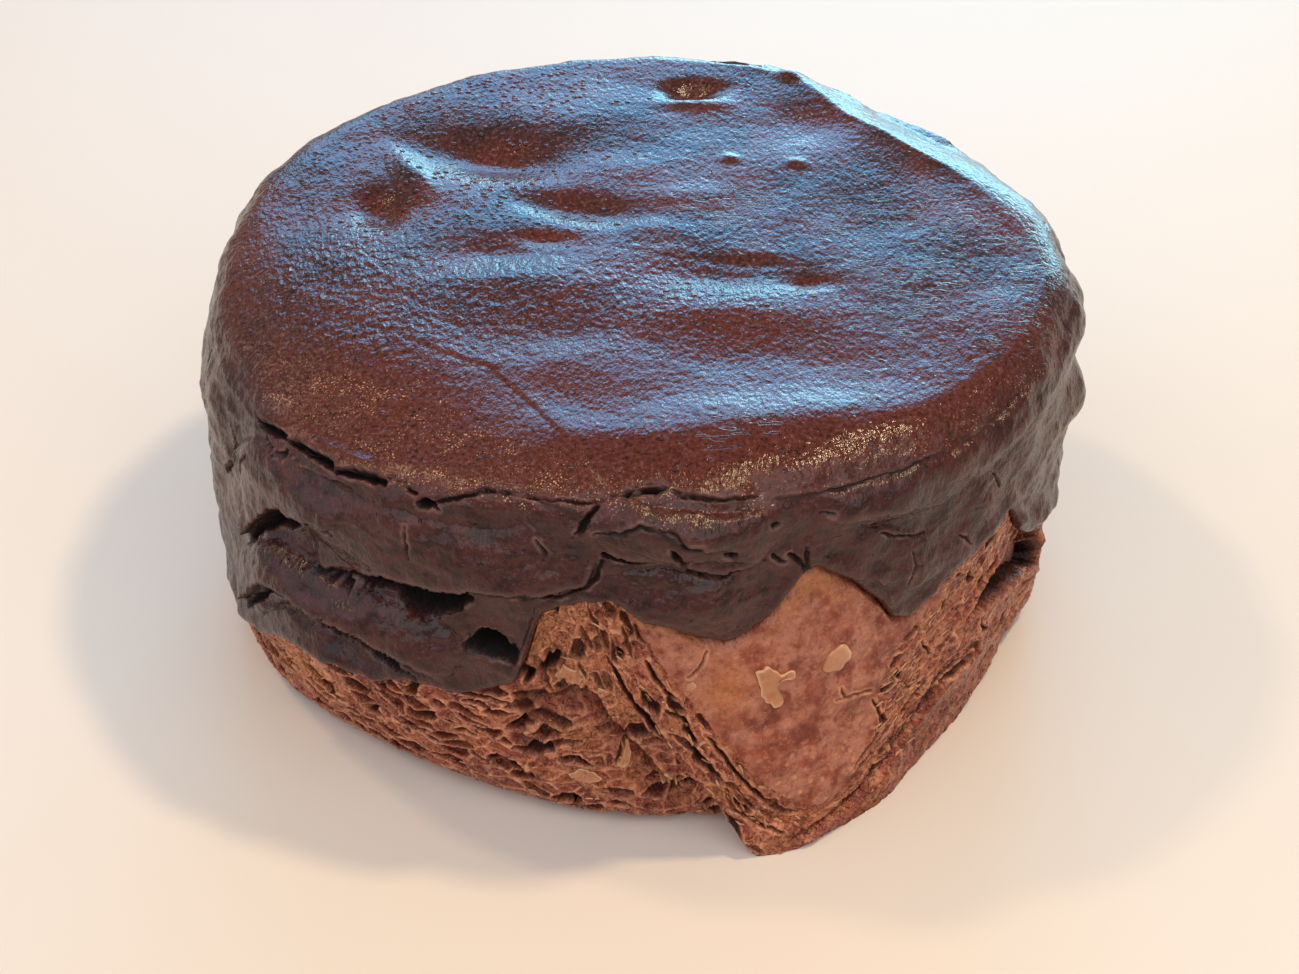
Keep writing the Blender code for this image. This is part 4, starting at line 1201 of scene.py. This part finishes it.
    glow = glow + 0.35 * ramp(noise(p, 3.3, 71), 0.1, 0.6) * (1 - panel)
    masks = {
        # painted shade in the dough's gaps
        "gap": gap,
        "crest": np.clip(crest, 0, 1) * (1 - gap),
        "tan": np.clip(tan, 0, 1),
        "panel": panel,
        "orange": np.clip(glow, 0, 1),
        # the pocket's mask: painted shade in its colour, and real gloss in its roughness
        "pocket_gloss_and_shade": pocket,
    }
    return push, masks


def dough_surface(angle, z, lip):
    """Points of the dough's outer surface and their masks. It keeps in under the coat."""
    r = outline(angle, z) - PROUD
    foot = np.clip(1 - z / 3.6, 0, 1)
    r = r - 3.6 * (1 - np.sqrt(np.clip(1 - foot * foot, 0, 1)))
    p = to_xyz(angle, r, z)
    push, masks = dough_relief(p, angle, r, z)
    under = ramp(lip - z, -0.9, 0.6)
    push = push * (0.25 + 0.75 * under) - 0.5 * (1 - under)
    return to_xyz(angle, r + push, z), masks


# Fine patches of the dough's side: name, first and last angle, columns, rows
PATCHES = [("layered_side_front", -68.3, -8.7, 400, 190), ("folded_corner_front", -9, 75, 480, 200),
           ("folded_corner_right", 74.7, 166.3, 230, 120), ("folded_corner_back", 166, 292, 290, 120)]


def build_core(material):
    """The dough inside, a plain closed form a little behind the fine patches of its side."""
    columns = 192
    angle = np.arange(columns) / columns * 360 - 180
    lip = lip_height(angle)
    rings = []
    for height, back in ((1.5, 4.0), (0.9, 2.6), (0.4, 2.6), (0.1, 2.8), (0.0, 5.5)):
        z = lip * height if height < 1 else lip + 2.2
        rings.append(to_xyz(angle, outline(angle, z) - PROUD - back, z))
    points = np.concatenate([[[0.0, 0.0, 24.0]], *rings, [[0.0, 0.0, 0.0]]])
    quads, tris = ring_faces([1] + [columns] * 5 + [1])
    zero = np.zeros(len(points))
    masks = {key: zero for key in ("gap", "crest", "tan", "panel", "orange", "pocket_gloss_and_shade")}
    return make_mesh("dough_body", points, quads, tris, masks, material)


def build_side_patch(name, low, high, columns, rows, material):
    """Part of the dough's side as a fine grid from the angle low to high, closed to a point inside."""
    angle = turn_from(np.linspace(low, high, columns), 0)
    lip = lip_height(angle)
    z = (lip + 1.5) * (1 - np.linspace(0, 1, rows)[:, None])
    points, masks = dough_surface(np.broadcast_to(angle, z.shape).ravel(), z.ravel(), np.tile(lip, rows))
    behind = to_xyz(np.array([(low + high) / 2]), np.array([20.0]), np.array([9.0]))
    quads, tris = patch_faces(rows, columns)
    masks = {k: np.append(v, 0) for k, v in masks.items()}
    return make_mesh(name, np.concatenate([points, behind]), quads, tris, masks, material)


# ---------------------------------------------------------------------------------------------------------
# Small pieces: glaze flakes, sugar drops, shards of layers, blisters


def on_corner(seen, v, lift):
    """Point on the front of the dough that is seen at the given angle and apparent height, lifted off."""
    z = v.copy()
    for _ in range(8):
        inside = ramp(corner_fields(arc_mm(seen), v)[1], -0.5, 0.6)
        r = outline(seen, z) - PROUD + corner_stand(seen, z) * inside
        z = 0.4 * z + 0.6 * (v - 0.78 * (RADIUS - r))
    z = np.maximum(z, 0.15)
    surface, _ = dough_surface(seen, z, np.full_like(z, 99.0))
    radial = np.stack([np.sin(np.radians(seen)), -np.cos(np.radians(seen)), 0 * seen + 0.25], -1)
    return surface + radial * lift[..., None]


def cap_faces(count, rings, around):
    """Faces of many closed caps. Each has a middle point, its rings, and a last point underneath."""
    per = 2 + rings * around
    i = np.arange(around)
    j = (i + 1) % around
    faces = [np.stack([np.zeros(around, int), 1 + i, 1 + j], -1)]
    for k in range(rings - 1):
        a, b = 1 + k * around, 1 + (k + 1) * around
        faces += [np.stack([a + i, b + i, b + j], -1), np.stack([a + i, b + j, a + j], -1)]
    last = 1 + (rings - 1) * around
    faces.append(np.stack([last + i, np.full(around, per - 1), last + j], -1))
    faces = np.concatenate(faces)
    return (faces[None] + per * np.arange(count)[:, None, None]).reshape(-1, 3)


# Flakes of glaze on the folded corner: outline as angles and apparent heights, thickness
FLAKES = [
    ([(14.0, 21.2), (15.4, 21.6), (16.6, 21.0), (17.6, 20.3), (18.8, 20.6), (19.6, 20.0), (19.4, 19.4),
      (18.6, 19.7), (17.4, 19.7), (16.9, 18.9), (17.3, 18.0), (17.7, 17.0), (17.0, 16.1), (16.0, 16.6),
      (15.2, 17.6), (14.8, 19.0)], 0.26),
    ([(2.2, 7.4), (2.6, 9.0), (3.8, 9.3), (5.0, 8.2), (5.0, 6.9), (3.8, 6.4)], 0.35),
    ([(-2.8, 9.8), (-2.4, 12.2), (-1.4, 12.6), (-0.9, 11.0), (-1.2, 9.8), (-1.9, 9.4)], 0.2),
    ([(-10.6, 20.9), (-9.4, 22.4), (-7.8, 22.0), (-6.6, 21.0), (-7.4, 20.3), (-9.0, 20.5)], 0.25),
    ([(-9.4, 8.6), (-7.6, 9.4), (-5.6, 8.8), (-4.6, 8.0), (-6.6, 7.6), (-8.6, 7.8)], 0.2),
]
# Sugar drops: angle, apparent height, half width, half height, thickness
DROPS = [(24.9, 20.3, 1.5, 1.55, 0.50), (6.3, 20.2, 0.5, 0.65, 0.3), (34.2, 5.2, 0.4, 0.35, 0.25)]


def build_flakes(material):
    """Thin flakes with a raised edge and low round drops, each closed, over the surface of the corner."""
    rings, around = 6, 64
    share = np.array([0.25, 0.5, 0.7, 0.84, 0.95, 1.0])
    turn = np.arange(around) / around * 2 * math.pi
    points, light = [], []
    for route, thick in FLAKES:
        loop = np.array(route + route[:1], float)
        length = np.concatenate([[0], np.cumsum(np.hypot(*np.diff(loop, axis=0).T))])
        at = np.linspace(0, length[-1], around + 1)[:-1]
        rim = np.stack([np.interp(at, length, loop[:, 0]), np.interp(at, length, loop[:, 1])], -1)
        rim = (np.roll(rim, 1, 0) + 2 * rim + np.roll(rim, -1, 0)) / 4
        middle = rim.mean(0)
        ragged = 0.18 * noise(np.stack([rim[:, 0] * 0.8, rim[:, 1], 0 * at], -1), 0.8, 81)
        rim = middle + (rim - middle) * (1 + ragged)[:, None]
        flat = np.concatenate([middle[None], *[middle + (rim - middle) * s for s in share], middle[None]])
        height = [0.35] + [0.35 + 0.65 * bell(s - 0.86, 0.2) if s < 0.99 else -0.6 for s in share]
        rows = np.concatenate([[height[0]], np.repeat(height[1:], around), [-1.5]]) * thick
        rows = rows * (1 + 0.6 * noise(np.stack([flat[:, 0] * 0.8, flat[:, 1], 0 * rows], -1), 0.9, 82))
        points.append(on_corner(flat[:, 0], flat[:, 1], rows))
        light.append(np.concatenate([[0], np.repeat([0, 0, 0, 0.1, 0.9, 0.6], around), [0]]))
    for a, v, wide, tall, thick in DROPS:
        uneven = 1 + 0.11 * np.sin(2 * turn + a) + 0.07 * np.sin(5 * turn + 2 * a)
        ring_a = [a + s * wide * uneven * np.sin(turn) / math.radians(1) / RADIUS for s in share]
        ring_v = [v + s * tall * uneven * np.cos(turn) for s in share]
        height = [math.sqrt(max(0, 1 - s * s)) if s < 0.99 else -0.5 for s in share]
        flat = np.concatenate([[[a, v]], *[np.stack(r, -1) for r in zip(ring_a, ring_v)], [[a, v]]])
        rows = np.concatenate([[1.0], np.repeat(height, around), [-1.5]]) * thick
        points.append(on_corner(flat[:, 0], flat[:, 1], rows))
        # a crescent of painted highlight on one side of each drop
        highlight_crescent = 0.5 + 0.5 * np.sin(turn)
        bands = [highlight_crescent**2 * k + 0.1 for k in (0, 0.1, 0.3, 0.8, 1, 0.8)]
        light.append(np.concatenate([[0.15], *bands, [0]]))
    tris = cap_faces(len(points), rings, around)
    # rims run left to right over the top, so the faces are turned to look outwards
    tris = tris[:, ::-1]
    masks = {"edge": np.concatenate(light)}
    return make_mesh("glaze_flakes", np.concatenate(points), np.zeros((0, 4), int), tris, masks, material)


def build_blisters(count, material):
    """Tiny round bubbles in the skin of the top, thickest at the back left: low domes."""
    rng = np.random.default_rng(23)
    x, y = rng.uniform(-40, 42, (2, count * 12))
    wanted = ramp(-x, -2, 12) * ramp(y, -4, 10) + 0.5 * bell(x + 18, 5) * bell(y - 4, 4)
    wanted = wanted + 0.10 * ramp(noise(np.stack([x, y, 0 * x], -1), 9.0, 80), 0.1, 0.6)
    wanted = wanted * (1 - bell(np.hypot((x + 17) / 8, (y - 19) / 5), 1.0)) * (np.hypot(x, y) < 39.5)
    x, y = x[(keep := rng.random(x.shape) < wanted)][:count], y[keep][:count]
    size = rng.uniform(0.20, 0.40, len(x))
    rings, around = 4, 10
    share = np.array([0.3, 0.62, 0.88, 1.05])
    height = np.array([0.95, 0.72, 0.30, -0.9])
    turn = np.arange(around) / around * 2 * math.pi
    ox = (share[:, None] * np.cos(turn)).ravel()
    oy = (share[:, None] * np.sin(turn)).ravel()
    ox, oy = np.concatenate([[0], ox, [0]]), np.concatenate([[0], oy, [0]])
    up = np.concatenate([[1.0], np.repeat(height, around), [-1.6]])
    px, py = x[:, None] + size[:, None] * ox, y[:, None] + size[:, None] * oy
    ground = skin_height(x, y)[:, None]
    tall = (0.30 * size)[:, None]
    points = np.stack([px, py, ground + tall * up], -1).reshape(-1, 3)
    tris = cap_faces(len(x), rings, around)
    flat = np.zeros(len(points))
    masks = {"gap": flat, "thin": flat, "side": flat, "front": flat, "specks": flat, "matt": flat,
             "grain": flat + 0.3, "leather": flat, "scratched": flat}
    return make_mesh("top_blisters", points, np.zeros((0, 4), int), tris, masks, material)


# Ragged outline of a splinter, with its half length and half width as units
SHARD_OUTLINE = [
    (-1, 0), (-0.85, 0.62), (-0.3, 0.95), (0.25, 1.0), (0.8, 0.7), (1.0, 0.05), (0.5, -0.5), (-0.5, -0.5),
]


def build_shards(count, material):
    """Splinters of baked layers that stand out from the layered bands: thin closed blades."""
    rng = np.random.default_rng(41)
    tries = count * 30
    seen = rng.uniform(-62, 66, tries)
    v = rng.uniform(0.5, 28, tries)
    outside, inward, _ = corner_fields(arc_mm(seen), v)
    lip = round_table(seen, LIP, 1, 1.2)
    band = (inward > 0.2) & (outside > 0.2) & (outside < 7) & (v < lip - 1.5) & (seen < 62)
    left = (inward < -1.0) & (v < lip - 1.5)
    keep = (rng.random(tries) < 0.9 * band + 0.22 * left)
    seen, v = seen[keep][:count], v[keep][:count]
    n = len(seen)
    base = on_corner(seen, v, np.full(n, -0.1))
    lip_band = (corner_fields(arc_mm(seen), v)[1] > 0)
    a = np.radians(seen)
    out = np.stack([np.sin(a), -np.cos(a), 0 * a], -1)
    across = np.stack([np.cos(a), np.sin(a), 0 * a], -1)
    up = np.array([0.0, 0.0, 1.0])
    lean = np.where(lip_band, np.where(seen < 20, -1.0, 0.5), 0.0) + rng.normal(0, 0.22, n)
    run = across * np.cos(lean)[:, None] + up * np.sin(lean)[:, None]
    side = -across * np.sin(lean)[:, None] + up * np.cos(lean)[:, None]
    tilt = rng.uniform(0.1, 0.7, n)[:, None]
    blade = side * np.sqrt(1 - tilt**2) + out * tilt
    normal = np.cross(run, blade)
    long = rng.uniform(0.5, 1.9, n)[:, None] / 2
    wide = rng.uniform(0.12, 0.34, n)[:, None]
    thick = rng.uniform(0.04, 0.07, n)[:, None]
    curl = rng.uniform(-0.25, 0.35, n)[:, None]
    shape = np.array(SHARD_OUTLINE)
    wobble = 1 + 0.22 * rng.normal(0, 1, (n, len(shape)))
    rows = []
    for fx, fy, ft in ((0.0, 0.35, 1.0), (None, None, 0.45), (None, None, -0.45), (0.0, 0.35, -1.0)):
        if fx is None:
            for k, (sx, sy) in enumerate(shape):
                w = wobble[:, k : k + 1]
                bent = ft * thick + curl * wide * (sy * w) ** 2
                rows.append(run * (sx * long * w) + blade * (sy * wide * w) + normal * bent)
        else:
            bent = ft * thick + curl * wide * fy * fy
            rows.append(run * fx + blade * (fy * wide) + normal * bent)
    points = (base[:, None] + np.stack(rows, 1)).reshape(-1, 3)
    tris = cap_faces(n, 2, len(shape))
    pale = np.concatenate([[0.2], np.ones(2 * len(shape)), [0.2]])
    masks = {"edge": np.tile(pale, n) * np.repeat(rng.uniform(0.3, 1, n), len(pale))}
    return make_mesh("layer_shards", points, np.zeros((0, 4), int), tris, masks, material)


# ---------------------------------------------------------------------------------------------------------
# Settings, operators and panel


def colour_setting(name, description, default):
    return FloatVectorProperty(
        name=name, description=description, default=default, subtype="COLOR", size=3, min=0.0, max=1.0
    )


class PastryColours(bpy.types.PropertyGroup):
    """Colours of the chocolate and of the baked dough"""

    dark_colour: colour_setting("Chocolate", "Main colour of the chocolate", (0.032, 0.0112, 0.0128))
    red_colour: colour_setting("Warm chocolate", "Chocolate where it is redder", (0.092, 0.0175, 0.0098))
    light_colour: colour_setting("Chocolate grain", "Lighter grain of the chocolate", (0.15, 0.058, 0.055))
    # painted highlight along the coat's ledges and round its openings
    painted_highlight_colour: colour_setting("Chocolate edge", "Thin chocolate at the edge of a gap", (0.26, 0.13, 0.11))
    # painted golden glints
    painted_glint_colour: colour_setting("Golden specks", "Small golden specks", (0.56, 0.30, 0.17))
    glaze_colour: colour_setting("Glaze", "Amber flakes and drops of glaze", (0.47, 0.195, 0.085))
    # pale edges of flakes and splinters, and the painted highlight of the drops
    pale_edge_and_highlight_colour: colour_setting("Glaze edge", "Pale edges of flakes and splinters", (0.74, 0.44, 0.24))
    # painted shade inside the gaps, pits, scratches and pockets, and also the darker grain of the chocolate
    dark_grain_and_shade_colour: colour_setting("Chocolate gap", "Inside of a gap", (0.006, 0.003, 0.0025))
    crust_colour: colour_setting("Crust", "Baked skin of the dough", (0.325, 0.066, 0.034))
    caramel_colour: colour_setting("Caramel", "Dough glazed with caramelised sugar", (0.19, 0.029, 0.0135))
    tan_colour: colour_setting("Tan dough", "Pale, less baked dough", (0.43, 0.150, 0.062))
    layer_colour: colour_setting("Layer ends", "Thin ends of the layers", (0.70, 0.29, 0.155))
    orange_colour: colour_setting("Thin crust", "Thin crust that glows orange", (0.49, 0.150, 0.045))
    spot_colour: colour_setting("Panel spots", "Pale mottling of the smooth panels", (0.58, 0.240, 0.148))
    # painted shade inside the pockets of the dough, and also its darker grain and lines
    dark_grain_and_pocket_shade_colour: colour_setting("Dough gap", "Inside the pockets of the dough", (0.030, 0.0035, 0.0018))


class PastrySizes(bpy.types.PropertyGroup):
    """Counts of the small pieces, and the size of the floor"""

    blister_count: IntProperty(
        name="Blisters", description="Number of blisters on the top", default=700, min=1
    )
    shard_count: IntProperty(name="Splinters", description="Number of layer splinters", default=260, min=1)
    floor_width: FloatProperty(
        name="Floor width", description="Width of the floor", default=6.0, unit="LENGTH"
    )


def shared_grain():
    return bpy.data.node_groups.get("skin grain") or grain_group()


def finish_piece(piece, node_name):
    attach(piece, "root")
    if node_name:
        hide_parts(node_name)


class PASTRY_OT_coat(bpy.types.Operator):
    """Make the chocolate coat with its folds, cracks and drips"""

    bl_idname = "pastry.coat"
    bl_label = "Chocolate coat"

    def execute(self, context):
        scene = context.scene
        material = chocolate_material(scene.pastry_colours, shared_grain())
        finish_piece(build_coat(material), "chocolate_coat")
        for patch in COAT_PATCHES:
            finish_piece(build_coat_patch(*patch, material), None)
        return {"FINISHED"}


class PASTRY_OT_dough(bpy.types.Operator):
    """Make the laminated dough with its folded corner"""

    bl_idname = "pastry.dough"
    bl_label = "Laminated dough"

    def execute(self, context):
        scene = context.scene
        material = dough_material(scene.pastry_colours, shared_grain())
        finish_piece(build_core(material), "laminated_dough")
        for patch in PATCHES:
            finish_piece(build_side_patch(*patch, material), None)
        return {"FINISHED"}


class PASTRY_OT_flakes(bpy.types.Operator):
    """Make the flakes and drops of glaze and the splinters of layers"""

    bl_idname = "pastry.flakes"
    bl_label = "Flakes and splinters"

    def execute(self, context):
        scene = context.scene
        material = glaze_material(scene.pastry_colours)
        finish_piece(build_flakes(material), None)
        finish_piece(build_shards(scene.pastry_sizes.shard_count, material), None)
        return {"FINISHED"}


class PASTRY_OT_blisters(bpy.types.Operator):
    """Make the small blisters in the skin of the top"""

    bl_idname = "pastry.blisters"
    bl_label = "Blisters"

    def execute(self, context):
        scene = context.scene
        material = bpy.data.materials["dark chocolate"]
        finish_piece(build_blisters(scene.pastry_sizes.blister_count, material), None)
        return {"FINISHED"}


def panel_light(name, azimuth, elevation, distance, wide, tall, radiance, colour):
    """A flat soft light seen from the pastry at an azimuth (0 behind it, positive to the right) and an
    elevation, as many degrees wide and tall as given, and as bright as its radiance."""
    a, e = math.radians(azimuth), math.radians(elevation)
    place = Vector((math.sin(a) * math.cos(e), math.cos(a) * math.cos(e), math.sin(e))) * distance
    light = bpy.data.lights.new(name, "AREA")
    light.shape = "RECTANGLE"
    light.size = 2 * distance * math.tan(math.radians(wide / 2))
    light.size_y = 2 * distance * math.tan(math.radians(tall / 2))
    light.energy = radiance * math.pi * light.size * light.size_y
    light.color = colour
    obj = bpy.data.objects.new(name, light)
    bpy.context.scene.collection.objects.link(obj)
    place.z += 0.03
    back = (place - Vector((0, 0, 0.03))).normalized()
    obj.matrix_world = Matrix.Translation(place) @ back.to_track_quat("Z", "Y").to_matrix().to_4x4()
    return obj


# The camera: degrees down and to the right, millimetres before the axis and above the floor, and its lens
CAMERA_TILT, CAMERA_PAN = 36.6, 0.35
CAMERA_BACK, CAMERA_HEIGHT = 210.66, 167.58
CAMERA_LENS = 66.5


class PASTRY_OT_stage(bpy.types.Operator):
    """Set the floor, the soft lights and the camera"""

    bl_idname = "pastry.stage"
    bl_label = "Studio"

    def execute(self, context):
        scene = context.scene
        half = scene.pastry_sizes.floor_width / 2
        mesh = bpy.data.meshes.new("floor")
        corners = [(-half, -half, 0), (half, -half, 0), (half, half, 0), (-half, half, 0)]
        mesh.from_pydata(corners, [], [(0, 1, 2, 3)])
        mesh.materials.append(plain_material("pale floor", (0.83, 0.735, 0.655), 0.5))
        floor = bpy.data.objects.new("floor", mesh)
        scene.collection.objects.link(floor)

        world = bpy.data.worlds.new("soft room")
        scene.world = world
        world.use_nodes = True
        world.node_tree.nodes["Background"].inputs[0].default_value = (1.0, 0.88, 0.80, 1)
        world.node_tree.nodes["Background"].inputs[1].default_value = 0.38
        panel_light("low window", 16, 5, 1.2, 36, 14, 8.0, (0.34, 0.80, 1.0))
        panel_light("high window", 0, 21.8, 1.2, 37, 18.5, 4.8, (0.13, 0.53, 1.0))
        panel_light("right lamp", 90, 67, 0.5, 5, 5, 165.0, (1.0, 0.76, 0.46))
        panel_light("left lamp", -70, 58, 1.2, 5, 5, 74.0, (1.0, 0.74, 0.44))
        panel_light("left room", -100, 32, 1.3, 50, 40, 0.95, (0.76, 0.84, 1.0))
        panel_light("front room", 172, 50, 1.3, 74, 46, 1.45, (0.86, 0.95, 1.0))

        tilt, pan = math.radians(CAMERA_TILT), math.radians(CAMERA_PAN)
        level = math.cos(tilt)
        forward = Vector((math.sin(pan) * level, math.cos(pan) * level, -math.sin(tilt)))
        place = Vector((AXIS[0], AXIS[1] - CAMERA_BACK, CAMERA_HEIGHT)) * MM
        right = forward.cross(Vector((0, 0, 1))).normalized()
        up = right.cross(forward)
        camera = bpy.data.cameras.new("camera")
        camera.sensor_width = 36
        camera.lens = CAMERA_LENS
        camera.clip_start = 0.01
        holder = bpy.data.objects.new("camera", camera)
        scene.collection.objects.link(holder)
        turned = Matrix((right, up, -forward)).transposed().to_4x4()
        holder.matrix_world = Matrix.Translation(place) @ turned
        scene.camera = holder
        scene.view_settings.view_transform = "Standard"
        return {"FINISHED"}


class PASTRY_PT_panel(bpy.types.Panel):
    """Pieces of the pastry and their colours"""

    bl_label = "Kouign amann"
    bl_idname = "PASTRY_PT_panel"
    bl_space_type = "VIEW_3D"
    bl_region_type = "UI"
    bl_category = "Pastry"

    def draw(self, context):
        layout = self.layout
        for operator in OPERATORS:
            layout.operator(operator.bl_idname)
        for group in (context.scene.pastry_sizes, context.scene.pastry_colours):
            for key in group.__annotations__:
                layout.prop(group, key)


OPERATORS = (PASTRY_OT_stage, PASTRY_OT_dough, PASTRY_OT_coat, PASTRY_OT_flakes, PASTRY_OT_blisters)
CLASSES = (PastryColours, PastrySizes, *OPERATORS, PASTRY_PT_panel)


def register():
    for cls in CLASSES:
        bpy.utils.register_class(cls)
    bpy.types.Scene.pastry_colours = PointerProperty(type=PastryColours)
    bpy.types.Scene.pastry_sizes = PointerProperty(type=PastrySizes)


def unregister():
    del bpy.types.Scene.pastry_colours
    del bpy.types.Scene.pastry_sizes
    for cls in reversed(CLASSES):
        bpy.utils.unregister_class(cls)


def main():
    register()
    bpy.ops.pastry.stage()
    bpy.ops.pastry.dough()
    bpy.ops.pastry.coat()
    bpy.ops.pastry.flakes()
    bpy.ops.pastry.blisters()


if __name__ == "__main__":
    main()
